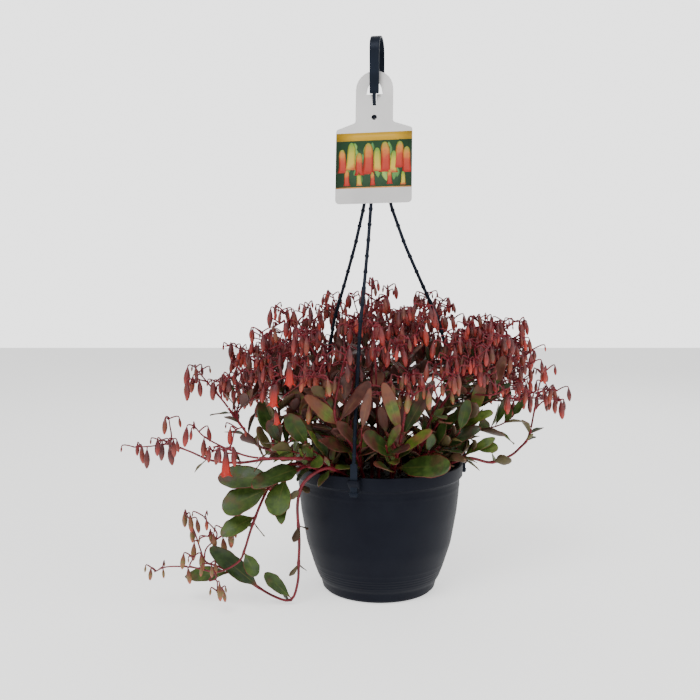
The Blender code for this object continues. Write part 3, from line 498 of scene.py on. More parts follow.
def crumb_rings(rng):
    """Loose crumbs on the soil: short tubes whose rings vary at random, in a spread of sizes."""
    reach, turn = CRUMB_REACH * np.sqrt(rng.uniform(0, 1, CRUMB_COUNT)), rng.uniform(0, 2 * math.pi, CRUMB_COUNT)
    size = rng.uniform(0.8, 2.6, CRUMB_COUNT) * MM
    place = np.stack([reach * np.cos(turn), reach * np.sin(turn), SOIL_TOP + 0.5 * size], axis=-1)
    heading = rng.normal(size=(CRUMB_COUNT, 1, 3)) * (1, 1, 0.3)
    heading /= np.linalg.norm(heading, axis=2, keepdims=True)
    paths = place[:, None] + heading * size[:, None, None] * np.linspace(-0.8, 0.8, 4)[:, None]
    radii = size[:, None] * np.array([0.4, 0.8, 0.75, 0.35]) * rng.uniform(0.7, 1.1, (CRUMB_COUNT, 4))
    return tube_rings(paths, radii, 6)


soil_rng = np.random.default_rng(SOIL_SEED)
Piece(soil_rings(soil_rng), crumb_rings(soil_rng)).make("Compost", [compost()], "soil", ["Soil"])
print("crumbs on the soil:", CRUMB_COUNT)

# %% [markdown]
# The hanger is moulded in one shot from glossy black plastic: three thin rods with a small ring every 16 mm, tabs
# that clip into the ears, and a strap hook. It is smoother than the pot, so its finish is the same kind of material
# with less grain and a lower roughness. Each rod's middle line bends from its ear to the hub, as in the solids, and
# its radius is a small raised bell shape at each ring.

# %% Hanger arms
TAB_RADIUS = 96.9 * MM
TAB_THICK = 3 * MM
TAB_WIDTH = 7.2 * MM
TAB_TOP = 154 * MM
FOOT_WIDTH = 9.4 * MM
FOOT_HEIGHT = 5 * MM
ROD_STEP = 1 * MM
ROD_AROUND = 12
SMOOTH_SPAN = 13
HANGER_SHARP = math.radians(60)
# Rods, neck and strap are drawn up to a third of a millimetre stouter than their solids, to show from a metre away
ARM_RADIUS = 1.85 * MM
NUB_RADIUS = 2.5 * MM
NUB_PITCH = 16.3 * MM
NUB_HALF = 1.1 * MM
# How far an arm stands from the hub's axis at each height, from tab to hub, in millimetres
ARM_HEIGHTS = [154, 200, 245, 290, 330, 370, 412, 460, 498, 501.6]
ARM_SPREAD = [96.9, 89.5, 80, 68, 49.5, 32, 17, 8.6, 3.1, 3.0]
HUB_X = -5.4 * MM
HUB_Y = 4 * MM


def arm_point(azimuth, height):
    """A point on an arm's centre line. Its foot stands over the lug, and its head is at the hub."""
    spread = np.interp(height, np.array(ARM_HEIGHTS) * MM, np.array(ARM_SPREAD) * MM)
    hub_share = 1 - spread / (ARM_SPREAD[0] * MM)
    hub = np.array([HUB_X, HUB_Y, 0.0]) * hub_share
    return hub + azimuth_direction(azimuth) * spread + UP * height


def arm_rings(azimuth):
    """The rod as rings 1 mm apart. Its radius swells by a bell curve at every nub."""
    foot, head = ARM_HEIGHTS[0] * MM, ARM_HEIGHTS[-1] * MM
    heights = np.arange(foot - 2 * MM, head, ROD_STEP)
    nubs = np.arange(foot + NUB_PITCH / 2, head - NUB_PITCH / 2, NUB_PITCH)
    path = np.array([arm_point(azimuth, z) for z in heights])
    padded = np.pad(path, ((SMOOTH_SPAN // 2, SMOOTH_SPAN // 2), (0, 0)), mode="reflect", reflect_type="odd")
    mean = np.full(SMOOTH_SPAN, 1 / SMOOTH_SPAN)
    smooth = np.stack([np.convolve(padded[:, k], mean, "valid") for k in range(3)], axis=-1)
    from_nub = np.abs(heights[:, None] - nubs).min(axis=1)
    radii = ARM_RADIUS + (NUB_RADIUS - ARM_RADIUS) * np.exp(-((from_nub / NUB_HALF) ** 4))
    return tube_rings(smooth[None], radii[None], ROD_AROUND)


def tab_rings(azimuth):
    """The flat tab that stands in the ear, rounded over at its top."""
    heights = np.array([LUG_TOP - LUG_HEIGHT - FOOT_HEIGHT, TAB_TOP - 2 * MM, TAB_TOP - 0.7 * MM, TAB_TOP])
    thick = TAB_THICK / 2 * np.array([1, 1, 0.95, 0.7])
    wide = TAB_WIDTH / 2 * np.array([1, 1, 0.9, 0.6])
    return upright_bar(azimuth, 0 * heights + TAB_RADIUS, heights, thick, wide)


def foot_rings(azimuth):
    """The wider barb under the ear, which keeps the tab from pulling out."""
    heights = LUG_TOP - LUG_HEIGHT - np.array([FOOT_HEIGHT, FOOT_HEIGHT - 0.7 * MM, 0.7 * MM, 0.3 * MM])
    thick = (TAB_THICK / 2 + 0.6 * MM) * np.array([0.7, 0.95, 1, 0.92])
    wide = FOOT_WIDTH / 2 * np.array([0.6, 0.8, 1, 0.97])
    return upright_bar(azimuth, 0 * heights + TAB_RADIUS, heights, thick, wide)


hanger_plastic = moulded_plastic("Black polypropylene with a smooth finish", "0f131b", "1b212b", 0.36, 0.03 * MM)
for name, azimuth in ARM_AZIMUTHS.items():
    rod = Piece(arm_rings(azimuth), tab_rings(azimuth), foot_rings(azimuth))
    rod.make("Rod_" + name, [hanger_plastic], "hanger", ["Arm_" + name], sharp=HANGER_SHARP)
print("rods:", len(ARM_AZIMUTHS))

# %% [markdown]
# The hook is a flat strap, about 10 mm wide, that goes up, over in a half circle and down to a blunt tip. It is
# drawn as an oblong section with rounded edges, carried along that line. Under it a round neck passes back through
# the tag's slot to the hub, where the three rods meet.

# %% Strap hook
HUB_BOTTOM = 502 * MM
HUB_TOP = 510 * MM
HUB_RADIUS = 4.7 * MM
NECK_RADIUS = 1.95 * MM
NECK_POINTS = 16
NECK_AROUND = 14
NECK_ROUTE = [(-6, -2.5, 529), (-6, -1.6, 523), (-5.8, 1.5, 518), (-5.5, 3.6, 513), (-5.4, 4, 508)]
# The strap widens from its foot, over this many of its points
STRAP_WIDTHS = (9.7 * MM, 10.9 * MM)
STRAP_WIDENS = (0, 26)
STRAP_THICK = 2.8 * MM
STRAP_AROUND = 24
SPAN_POINTS = 12
STRAP_FOOT = np.array((-6, -2.5, 526.6)) * MM
STRAP_TURN = math.radians(-12)
HOOK_DEPTH = 30 * MM
HOOK_SHOULDER = 45.5 * MM
HOOK_TIP = 22.5 * MM


def unit(vector):
    """The vector at length one."""
    return vector / np.linalg.norm(vector)


def evenly(line, start, end, count):
    """Count points along a line, between two shares of its length."""
    run = np.concatenate([[0], np.cumsum(np.linalg.norm(np.diff(line, axis=0), axis=1))])
    at = np.linspace(start, end, count) * run[-1]
    return np.stack([np.interp(at, run, line[:, k]) for k in range(3)], axis=1)


def smooth_route(points, count):
    """Evenly spaced points on the Catmull-Rom curve through the given ones."""
    points = np.asarray(points, float)
    ends = np.vstack([2 * points[0] - points[1], points, 2 * points[-1] - points[-2]])
    t = np.linspace(0, 1, SPAN_POINTS, endpoint=False)[:, None]
    spans = [
        0.5 * (2 * b + (c - a) * t + (2 * a - 5 * b + 4 * c - d) * t**2 + (3 * b - a - 3 * c + d) * t**3)
        for a, b, c, d in zip(ends, ends[1:], ends[2:], ends[3:])
    ]
    return evenly(np.vstack([*spans, points[-1:]]), 0, 1, count)


def strap_rings():
    """The strap's middle line is a J upside down in an upright plane. Its oblong section is rounded at both ends."""
    width = np.array([math.cos(STRAP_TURN), math.sin(STRAP_TURN), 0])
    depth = np.cross(UP, width)
    bend = arc_line((HOOK_DEPTH / 2, HOOK_SHOULDER), HOOK_DEPTH / 2, 180, 0, 30)
    heights = np.concatenate([[0, 0.3 * MM, 0.9 * MM], np.linspace(2 * MM, HOOK_SHOULDER, 8, endpoint=False)])
    rise = np.column_stack([0 * heights, heights])
    tip = HOOK_TIP + np.array([0.9, 0.3, 0]) * MM
    drop = np.concatenate([np.linspace(HOOK_SHOULDER, HOOK_TIP + 2 * MM, 8)[1:], tip])
    line = np.vstack([rise, bend, np.column_stack([0 * drop + HOOK_DEPTH, drop])])
    path = STRAP_FOOT + line[:, :1] * depth + line[:, 1:] * UP
    tangents = np.gradient(path, axis=0)
    tangents /= np.linalg.norm(tangents, axis=1, keepdims=True)
    across = np.broadcast_to(width, path.shape)
    half_thick = np.full(len(path), STRAP_THICK / 2)
    half_wide = np.interp(np.arange(len(path)), STRAP_WIDENS, STRAP_WIDTHS) / 2
    half_thick[-3:] *= (0.95, 0.75, 0.4)
    half_wide[-3:] *= (1, 0.98, 0.93)
    half_thick[:2] *= (0.7, 0.92)
    half_wide[:2] *= (0.93, 0.98)
    return bar_rings(path, across, np.cross(tangents, across), half_wide, half_thick, STRAP_AROUND, 0.28)


def hub_rings():
    """A small cone frustum with a rounded foot."""
    line = [(2 * MM, HUB_BOTTOM), (HUB_RADIUS - 0.5 * MM, HUB_BOTTOM), (HUB_RADIUS, HUB_BOTTOM + 0.6 * MM)]
    line += [(NECK_RADIUS + 0.6 * MM, HUB_TOP - MM), (NECK_RADIUS, HUB_TOP)]
    return turned_rings(np.array(line), STRAP_AROUND) + np.array([HUB_X, HUB_Y, 0])


neck = smooth_route(np.array(NECK_ROUTE) * MM, NECK_POINTS)[None]
neck = tube_rings(neck, np.full((1, NECK_POINTS), NECK_RADIUS), NECK_AROUND)
Piece(strap_rings(), neck, hub_rings()).make("Strap_hook", [hanger_plastic], "hanger", ["Hook"], sharp=HANGER_SHARP)
print("hook top:", round(STRAP_FOOT[2] + HOOK_SHOULDER + HOOK_DEPTH / 2 + STRAP_THICK / 2, 4))

# %% [markdown]
# The tag is printed card-thick plastic, die-cut, so the solid's own shape is right and it only gets a new material.
# Its print is built as thin sheets of ink on the front: a gold band, and a picture panel of hanging bell flowers
# between leaves, made up for this tag. Each bell is a flat form whose half width grows from its stalk to its mouth.
# Ink as real sheets stays crisp at any distance, which a painted texture wouldn't.

# %% Tag plate
# The tag's own frame starts at the foot of its slot
TAG_ORIGIN = Vector((-5.8, 0, 514.6)) * MM
TAG_LEAN = math.radians(9.5)
TAG_TILT = math.radians(1)
TAG_TURN = math.radians(-11)
TAG_THICK = 0.8 * MM
TAG_HALF = 40.3 * MM
INK_THICK = 0.05 * MM
INK_AROUND = 6
CARD_CLOUD = 45 * MM
INK_BLOT = 5 * MM
TAG_SEED = 3


def tag_card():
    """Coated white card: pale grey, even, with the low gloss of a varnish."""
    material, shader = new_material("Varnished plastic card", "c3c1bf", 0.34, Coat_Weight=0.25, Coat_Roughness=0.2)
    node = partial(add_node, material)
    place = node("TexCoord", {})["Object"]
    cloud = node("TexNoise", {"Vector": place, "Scale": 1 / CARD_CLOUD, "Detail": 2.0})["Fac"]
    colour = node("ValToRGB", {"Fac": cloud}, [(0.3, "bab8b7"), (0.7, "cccac9")])["Color"]
    fill_inputs(material, shader, {"Base Color": colour})
    return material


def ink(name, stops):
    """Satin ink, whose colour runs along each printed form."""
    material, shader = new_material(name, stops[0][1], 0.5, Specular_IOR_Level=0.3)
    node = partial(add_node, material)
    along = node("SeparateXYZ", {"Vector": node("Attribute", {}, attribute_name="spot")["Vector"]})["X"]
    place = node("TexCoord", {})["Object"]
    blot = node("TexNoise", {"Vector": place, "Scale": 1 / INK_BLOT, "Detail": 3.0})["Fac"]
    shift = node("MapRange", {"Value": blot, "To Min": -0.2, "To Max": 0.2})["Result"]
    total = node("Math", {0: along, 1: shift}, operation="ADD")["Value"]
    fill_inputs(material, shader, {"Base Color": node("ValToRGB", {"Fac": total}, stops)["Color"]})
    return material


def on_tag(x, y, layer):
    """Points of the tag's own plane, in metres, raised by a number of ink layers in front of it."""
    upright = Matrix.Rotation(TAG_TURN, 4, "Z") @ Matrix.Rotation(math.radians(90) - TAG_LEAN, 4, "X")
    place = np.array(Matrix.Translation(TAG_ORIGIN) @ upright @ Matrix.Rotation(TAG_TILT, 4, "Z"))
    x, y = np.broadcast_arrays(x, y)
    flat = np.stack([x, y, np.full(x.shape, TAG_THICK / 2 + (layer + 0.5) * INK_THICK)], axis=-1)
    return flat @ place[:3, :3].T + place[:3, 3]


def sheet_rings(middle, half, heights, layer):
    """A flat printed form: at each height its middle and half width, carried round as a thin squashed tube."""
    turns = np.linspace(0, 2 * math.pi, INK_AROUND, endpoint=False)
    x = middle[..., None] + half[..., None] * np.cos(turns)
    raised = layer + 0.45 * np.sin(turns)
    return on_tag(x, np.broadcast_to(heights[..., None], x.shape), raised)


# %% Tag print
GOLD_BAND = (-37.2 * MM, -28.7 * MM)
PICTURE = (-86.5 * MM, -37.2 * MM)
LINE_BAND = (-87.7 * MM, -86.5 * MM)
PRINT_HALF = TAG_HALF - 0.1 * MM
# Printed bells in millimetres: middle, top, length, and 1 for a red one or 0 for a yellow one
BELL_PLACES = np.array([
    (-33, -46, 25, 1), (-24, -39, 29, 0), (-15, -50, 24, 1), (-6, -40, 33, 1), (4, -45, 25, 0), (12, -39, 32, 1),
    (21, -49, 23, 0), (27, -39, 28, 1), (35, -45, 27, 1), (-28, -68, 17, 1), (-1, -71, 14, 1), (17, -69, 15, 1),
    (31, -71, 14, 0), (-15, -70, 15, 0),
])
BELL_ROWS = 14
LEAF_PLACES = 34
LEAF_ROWS = 7


def band_rings(low, high):
    """A plain oblong of ink, as wide as the tag."""
    return sheet_rings(np.zeros((1, 2)), np.full((1, 2), PRINT_HALF), np.array([[low, high]]), 0)


def bell_prints(places):
    """Hanging bells: a round top, a half width of about a seventh of the length, and a mouth that flares."""
    x, top, length, _ = places[..., None].transpose(1, 0, 2) * MM
    run = np.linspace(0, 1, BELL_ROWS) ** 1.3
    shape = 0.02 + 0.12 * np.sqrt(1 - (1 - np.minimum(run * 3.5, 1)) ** 2) + 0.02 * run + 0.07 * run**8
    middle = x + 0.02 * length * np.sin(3 * run + x / MM)
    half = np.minimum(length * shape, TAG_HALF - 0.5 * MM - np.abs(middle))
    spot = np.broadcast_to(run[:, None, None], (len(places), BELL_ROWS, INK_AROUND, 1)) * (1, 0, 0)
    return sheet_rings(middle, half, top - length * run, 2), spot


def leaf_prints(rng):
    """Pointed ovals in a spread of sizes, all inside the picture."""
    run = np.linspace(0, 1, LEAF_ROWS)
    length, x = rng.uniform(7, 15, (LEAF_PLACES, 1)) * MM, rng.uniform(-33, 33, (LEAF_PLACES, 1)) * MM
    top = rng.uniform(PICTURE[0] + 16 * MM, PICTURE[1] - MM, (LEAF_PLACES, 1))
    middle = x + rng.uniform(-0.35, 0.35, (LEAF_PLACES, 1)) * length * (run - 0.5)
    half = np.minimum(length * (0.02 + 0.24 * np.sin(math.pi * run)), TAG_HALF - MM - np.abs(middle))
    shade = np.broadcast_to(rng.uniform(0, 1, (LEAF_PLACES, 1, 1, 1)), (LEAF_PLACES, LEAF_ROWS, INK_AROUND, 1))
    return sheet_rings(middle, half, top - length * run, 1), shade * (1, 0, 0)


inks = [
    ink("Gold ink", [(0, "b58a14"), (1, "c79c20")]),
    ink("Dark green ink", [(0, "18301d"), (1, "2c5232")]),
    ink("Leaf green ink", [(0, "3d6b3a"), (0.6, "5f8f45"), (1, "8fae55")]),
    ink("Red bell ink", [(0, "7c8a2a"), (0.25, "c47a2c"), (0.5, "b23a22"), (1, "a3261b")]),
    ink("Yellow bell ink", [(0, "5f8a2c"), (0.4, "b3a830"), (0.8, "c9a636"), (1, "b8542c")]),
    ink("Orange ink", [(0, "c8813c"), (1, "d8924a")]),
]
tag_print = Piece()
for ink_slot, heights in ((0, GOLD_BAND), (1, PICTURE), (5, LINE_BAND)):
    tag_print.add(band_rings(*heights), ink_slot, spot=(0.5, 0, 0))
rings, spot = leaf_prints(np.random.default_rng(TAG_SEED))
tag_print.add(rings, 2, spot)
for ink_slot, warm in ((3, 1), (4, 0)):
    rings, spot = bell_prints(BELL_PLACES[BELL_PLACES[:, 3] == warm])
    tag_print.add(rings, ink_slot, spot)
tag_print.make("Tag_print", inks, "tag")
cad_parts["Tag"].data.materials.clear()
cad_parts["Tag"].data.materials.append(tag_card())
print("bells printed on the tag:", len(BELL_PLACES))

# %% [markdown]
# The plant's pieces stand where the solids are, because this script repeats the rules that placed them: the same
# routes, and the same seeded draws. A leaf is a middle surface with two numbers, s from root to tip and w across.
# Its half width follows a blunt oval with a narrow stalk, and it is cupped across and arched along.


# %% Routes and leaf shape
TANGENT_SPAN = 0.03


def at_share(line, share):
    """The point and unit tangent at a share of a line's length."""
    before, point, after = evenly(line, max(share - TANGENT_SPAN, 0), min(share + TANGENT_SPAN, 1), 3)
    return point, unit(after - before)


def blade_half(s):
    """Half the width of a leaf at s of its length, as a share of its widest: a petiole, then a blunt oval."""
    u = np.clip((s - 0.1) / 0.9, 0, 1)
    return 0.1 + 0.9 * np.sin(math.pi * 0.9 * u**0.85) ** 0.8


def blade_points(leaf, s, w):
    """Points on a leaf's middle surface. s runs from root to tip, and w from -1 to 1 across."""
    s, w = np.broadcast_arrays(s, w)
    side = np.cross(leaf["normal"], leaf["along"])
    half = leaf["width"] / 2 * blade_half(s)
    forward = leaf["length"] * (s - 0.07 * w**2 * s**4)
    lift = leaf["cup"] * half * w**2 - leaf["arch"] * leaf["length"] * s**2
    return (
        leaf["root"]
        + forward[..., None] * leaf["along"]
        + (half * w)[..., None] * side
        + lift[..., None] * leaf["normal"]
    )


print("a leaf is widest at", blade_half(np.linspace(0, 1, 101)).argmax(), "percent of its length")

# %% [markdown]
# Leaves and buds must not run through each other. A book of round spots marks what is taken, with its owner's name.
# Each new leaf or bud is turned about its root until its own spots are clear of all others, or it is left out.


# %% The book of places taken
STEM_RADIUS = (1.9 * MM, 1.2 * MM)
SPRAY_RADIUS = (1.1 * MM, 0.7 * MM)
FORK_RADII = (0.95 * MM, 0.6 * MM)
FORK_LENGTHS = (26 * MM, 38 * MM)
STALK_RADIUS = 0.5 * MM
LEAF_SAMPLE = 1.7 * MM
BUD_LENGTHS = (13 * MM, 25 * MM)
BELL_LENGTH = 29 * MM
# The golden angle, which never lines up with itself
GOLDEN_TURN = 2.4
CLEARANCE = 0.45 * MM
TRIES = 10
SEED = 41
GAP = 0.3 * MM
JOIN_GAP = 0.5 * MM
ROOT_DEPTH = 9 * MM
LEAF_SINK = 0.4 * MM
ROOM = 900_000
WIDEST_SPOT = 4 * MM
ROUTE_POINTS, STEM_POINTS, SPRAY_POINTS, FORK_POINTS = 120, 60, 40, 14
BUD_SPOTS = 9
SPOT_PITCH = (2.6 * MM, 2.8 * MM)


class Space:
    """Round spots that stand for what has been placed, each with its owner's name."""

    def __init__(self):
        self.count, self.spots, self.radii = 0, np.zeros((ROOM, 3)), np.zeros(ROOM)
        self.owners = np.zeros(ROOM, dtype=object)

    def add(self, points, radii, owner):
        rows = slice(self.count, self.count + len(points))
        self.spots[rows], self.radii[rows], self.owners[rows] = points, radii, owner
        self.count = rows.stop

    def is_clear(self, points, radii, but=()):
        """Whether round spots keep their clearance from the pot, the ground and all other owners' spots."""
        radii = np.broadcast_to(radii, len(points))
        if not clear_of_pot(points, radii).all():
            return False
        reach, spots = radii.max() + WIDEST_SPOT, self.spots[: self.count]
        low, high = points.min(axis=0) - reach, points.max(axis=0) + reach
        near = np.flatnonzero((spots[:, 2] > low[2]) & (spots[:, 2] < high[2]) & (spots[:, 0] > low[0]))
        near = near[((spots[near] > low) & (spots[near] < high)).all(axis=1)]
        near = near[np.array([owner not in but for owner in self.owners[near]], dtype=bool)]
        if not len(near):
            return True
        apart = np.linalg.norm(points[:, None] - spots[near][None], axis=2)
        return (apart - radii[:, None] - self.radii[near][None]).min() > CLEARANCE


def clear_of_pot(points, radii):
    """Which spots are clear of the wall, the soil and the ground."""
    across = np.hypot(points[:, 0], points[:, 1])
    height = points[:, 2]
    margin = radii + CLEARANCE
    outside = across > np.maximum(outer_radius(height - margin), outer_radius(height + margin)) + margin
    inside = (across < inner_radius(height - margin) - margin) & (height > SOIL_TOP + margin)
    above = height > POT_HEIGHT + margin
    return (outside | inside | above) & (height > margin)


def fill_with_hardware(space):
    """Marks the hanger's arms, tabs and lugs as taken."""
    for name, azimuth in ARM_AZIMUTHS.items():
        heights = np.arange(ARM_HEIGHTS[0] * MM, ARM_HEIGHTS[-1] * MM, 2 * MM)
        space.add(np.array([arm_point(azimuth, z) for z in heights]), NUB_RADIUS, "arm " + name)
        out = azimuth_direction(azimuth)
        side = np.cross(UP, out)
        for z in np.arange(118, 156, 3) * MM:
            spots = [out * TAB_RADIUS + side * offset + UP * z for offset in (-3 * MM, 0, 3 * MM)]
            space.add(np.array(spots), 3.6 * MM, "arm " + name)


space = Space()
fill_with_hardware(space)
print("spots for the hanger:", space.count)

# %% [markdown]
# Each shoot is a stem that stands in the soil, and most end in a spray. The shoots that show in the photograph have
# routes of their own. The rest arch out from their root to a tip, which is how a trailing kalanchoe grows: up first,
# then over, as the weight of the buds pulls the tip down.


# %% Shoots
def shoot(root, route, split=0.62, pairs=2, first=0.42, size=32, **rest):
    """One shoot, in millimetres and degrees. root is (azimuth, radius), split the stem's share of the route."""
    start, route = azimuth_direction(root[0]) * root[1] * MM, np.array(route, float) * MM
    plan = {"root": start, "route": route, "split": split, "pairs": pairs, "first": first, "size": size * MM}
    return {**plan, "buds": 4, "leaves": (), "bells": (), **rest}


def arching(root, tip_azimuth, reach, height, **rest):
    """A shoot that rises from its root and arches out to a tip at a reach and a height."""
    start = azimuth_direction(root[0]) * root[1]
    end = azimuth_direction(tip_azimuth) * reach
    soil = SOIL_TOP / MM
    shares = ((0.14, 0.3), (0.52, 0.72), (0.86, 0.98))
    low, middle, high = (start + out * (end - start) + UP * (soil + up * (height - soil)) for out, up in shares)
    return shoot(root, [low, middle, high, end + UP * height], **rest)


# A listed leaf is (share of the stem, tip, width), and faces the front and up.
SHOOTS = {
    "left_long": shoot(
        (-54, 46),
        [(-79, -56, 150), (-112, -66, 153), (-143, -60, 148), (-173, -50, 148), (-198, -45, 157),
         (-220, -40, 163), (-238, -40, 161), (-256, -40, 160)],
        split=0.72, first=0.45, size=26, buds=6,
    ),
    "left_upright": shoot(
        (-76, 50),
        [(-98, -34, 152), (-128, -30, 160), (-147, -22, 181), (-164, -20, 204), (-178, -20, 221), (-196, -20, 243)],
        split=0.74, first=0.5, size=30, buds=6,
    ),
    "left_low": shoot(
        (-40, 43),
        [(-63, -73, 153), (-88, -92, 159), (-122, -94, 160), (-146, -88, 165), (-174, -84, 178), (-186, -82, 190)],
        split=0.66, first=0.6, size=26, buds=5, bells=(3,),
    ),
    "left_cluster": shoot(
        (-46, 62),
        [(-73, -64, 145), (-88, -78, 141), (-104, -86, 134), (-112, -87, 126)],
        split=1, pairs=0,
        leaves=[(0.98, (-158, -92, 108), 30), (0.86, (-163, -86, 141), 26),
                (0.6, (-126, -108, 138), 22), (0.8, (-106, -98, 103), 26)],
    ),
    "trailing_long": shoot(
        (-30, 59),
        [(-53, -81, 147), (-76, -82, 134), (-84, -75, 110), (-83, -66, 69), (-84, -63, 45), (-85, -62, 24),
         (-92, -62, 5), (-110, -62, 9), (-134, -60, 23), (-150, -60, 32), (-168, -60, 40), (-180, -60, 45),
         (-185, -60, 58), (-191, -60, 77), (-199, -60, 96)],
        split=0.8, pairs=0, buds=6,
        leaves=[(0.74, (-118, -70, 36), 14), (0.86, (-172, -72, 64), 20), (0.97, (-204, -52, 28), 16)],
    ),
    "trailing_short": shoot(
        (-63, 62),
        [(-87, -50, 145), (-106, -68, 137), (-119, -78, 114), (-130, -83, 86), (-137, -81, 64), (-144, -78, 50),
         (-165, -78, 40), (-190, -76, 44), (-216, -74, 44), (-230, -72, 38)],
        split=0.66, pairs=0, buds=4,
        leaves=[(0.74, (-160, -92, 82), 20), (0.5, (-98, -100, 96), 15), (0.95, (-124, -92, 40), 15)],
    ),
    "right_arch": shoot(
        (62, 60),
        [(88, -34, 147), (117, -26, 141), (138, -18, 146), (151, -10, 154), (161, -4, 165), (168, 0, 196),
         (173, 0, 223), (180, 0, 238)],
        split=0.7, first=0.6, size=24, buds=6,
    ),
    "right_high": arching((72, 44), 100, 161, 286, buds=6),
    "front_left": shoot(
        (-18, 54),
        [(-26, -66, 160), (-34, -76, 176), (-46, -82, 198), (-44, -82, 224), (-38, -80, 250), (-34, -84, 266)],
        split=0.64, pairs=0, buds=5,
        leaves=[(0.86, (-13, -98, 236), 15), (0.83, (-74, -94, 222), 16), (0.5, (-62, -98, 178), 15)],
    ),
    "front_right": shoot(
        (12, 56),
        [(16, -74, 158), (20, -84, 182), (24, -88, 208), (34, -92, 224), (44, -98, 228)],
        split=0.66, pairs=0, buds=4,
        leaves=[(0.84, (2, -96, 234), 14), (0.8, (50, -84, 236), 15), (0.62, (46, -106, 190), 14),
                (0.56, (-17, -104, 186), 22), (0.4, (66, -104, 154), 28), (0.34, (-6, -106, 156), 18)],
    ),
    "front_low_right": arching((44, 50), 38, 118, 240, size=30, buds=5),
    "front_high": arching((-2, 36), -6, 84, 288, size=30),
    "front_crown": arching((28, 26), 40, 74, 306, size=30),
    "crown": arching((-40, 12), -60, 10, 334, buds=6),
    "left_front_high": arching((-62, 34), -50, 108, 278, buds=5),
    "left_high": arching((-98, 56), -98, 170, 260, size=30, buds=6),
    "left_back_high": arching((-112, 36), -118, 134, 300, buds=3),
    "left_back_low": arching((-128, 60), -126, 176, 222, buds=3),
    "back_left_high": arching((-150, 38), -152, 118, 314, buds=3),
    "back_left_low": arching((-164, 62), -162, 168, 252, buds=3),
    "back_high": arching((170, 24), 172, 92, 322, buds=3),
    "back_right_low": arching((164, 61), 164, 172, 262, buds=3),
    "back_right_high": arching((138, 36), 142, 134, 306, buds=3),
    "right_back_low": arching((128, 60), 130, 178, 242, buds=3),
    "right_front": arching((58, 38), 66, 140, 276),
}


def full_route(plan):
    """The whole centre line, which rises straight out of its hole in the soil."""
    root = plan["root"]
    start = [root + UP * z for z in (SOIL_TOP - ROOT_DEPTH + GAP, SOIL_TOP + 3 * MM, SOIL_TOP + 9 * MM)]
    return smooth_route(np.vstack([start, plan["route"]]), ROUTE_POINTS)


def share_out(line, split):
    """The stem's and the spray's lines, which meet with a small gap."""
    if split >= 1:
        return line, None
    length = np.linalg.norm(np.diff(line, axis=0), axis=1).sum()
    return evenly(line, 0, split, STEM_POINTS), evenly(line, split + JOIN_GAP / length, 1, SPRAY_POINTS)


def taper(line, radii):
    """A radius for each point of a line."""
    return np.linspace(radii[0], radii[1], len(line))


print("shoots:", len(SHOOTS))

# %% [markdown]
# Kalanchoe leaves stand in opposite pairs, each pair square to the one below. The buds hang from thin stalks along
# the spray and its fork. These are the rules and the draws of the solids.


# %% Leaves as the solids have them
SOLID_TRIES = {"lift": 0.12, "pitch": 0.35, "shrink": 0.96}


def new_leaf(point, along, facing, length, width, cups, arches, rng):
    """A leaf whose root is sunk into its stem and whose upper side is turned as far as it can be to face a way."""
    normal = unit(facing - facing.dot(along) * along)
    leaf = {"root": point - along * LEAF_SINK, "along": along, "normal": normal, "length": length, "width": width}
    return {**leaf, "cup": rng.uniform(*cups), "arch": rng.uniform(*arches)}


def leaf_tries(line, share, facing, start, rise, length, width_share, rng, lift, pitch, shrink):
    """Tries at a leaf, each shorter than the one before, and the later ones turned about the stem to either side."""
    point, tangent = at_share(line, share)
    level, across = leaf_frame(tangent)
    for attempt in range(TRIES):
        angle = start + pitch * (attempt + 1) // 2 * (-1) ** attempt
        out = facing * (math.cos(angle) * level + math.sin(angle) * across)
        along, size = unit(out + rise * tangent + lift * UP), length * shrink**attempt
        yield new_leaf(point, along, tangent + 0.5 * UP, size, width_share * size, (0.15, 0.4), (0.02, 0.14), rng)


def placed_leaf(line, share, tip, width, rng):
    """A leaf from its stem to a given tip, facing the front and up."""
    point, _ = at_share(line, share)
    length, facing = float(np.linalg.norm(tip - point)), np.array([-0.1, -0.75, 0.65])
    return new_leaf(point, unit(tip - point), facing, length, width, (0.15, 0.3), (0.0, 0.08), rng)


def leaf_spots(leaf):
    """Round spots over a leaf, past its petiole."""
    rows = max(int(leaf["length"] / SPOT_PITCH[0]), 5)
    columns = max(int(leaf["width"] / SPOT_PITCH[1]), 3)
    s = np.linspace(0.1, 1, rows)[:, None]
    w = np.linspace(-1, 1, columns)[None, :]
    return blade_points(leaf, s, w).reshape(-1, 3)


def leaf_frame(tangent):
    """Two unit vectors square to a stem, the first of them level."""
    level = np.cross(UP, tangent)
    level = unit(level) if np.linalg.norm(level) > 0.05 else np.array([1.0, 0, 0])
    return level, np.cross(tangent, level)


def grow_leaves(name, plan, line, rng):
    """The shoot's opposite pairs, each pair square to the one before."""
    leaves = []
    for share, tip, width in plan["leaves"]:
        leaves.append(placed_leaf(line, share, np.array(tip) * MM, width * MM, rng))
        space.add(leaf_spots(leaves[-1]), LEAF_SAMPLE, name + " stem")
    for pair in range(plan["pairs"]):
        share = plan["first"] + (0.96 - plan["first"]) * pair / max(plan["pairs"] - 1, 1)
        for facing in (1, -1):
            length = plan["size"] * (1.2 - 0.35 * share) * rng.uniform(0.85, 1.1)
            start = math.pi / 2 * pair + rng.uniform(-0.3, 0.3)
            rise = rng.uniform(0.45, 0.8)
            for leaf in leaf_tries(line, share, facing, start, rise, length, 0.8 - 0.36 * share, rng, **SOLID_TRIES):
                if space.is_clear(leaf_spots(leaf), LEAF_SAMPLE, but=(name + " stem",)):
                    leaves.append(leaf)
                    space.add(leaf_spots(leaf), LEAF_SAMPLE, name + " stem")
                    break
    return leaves


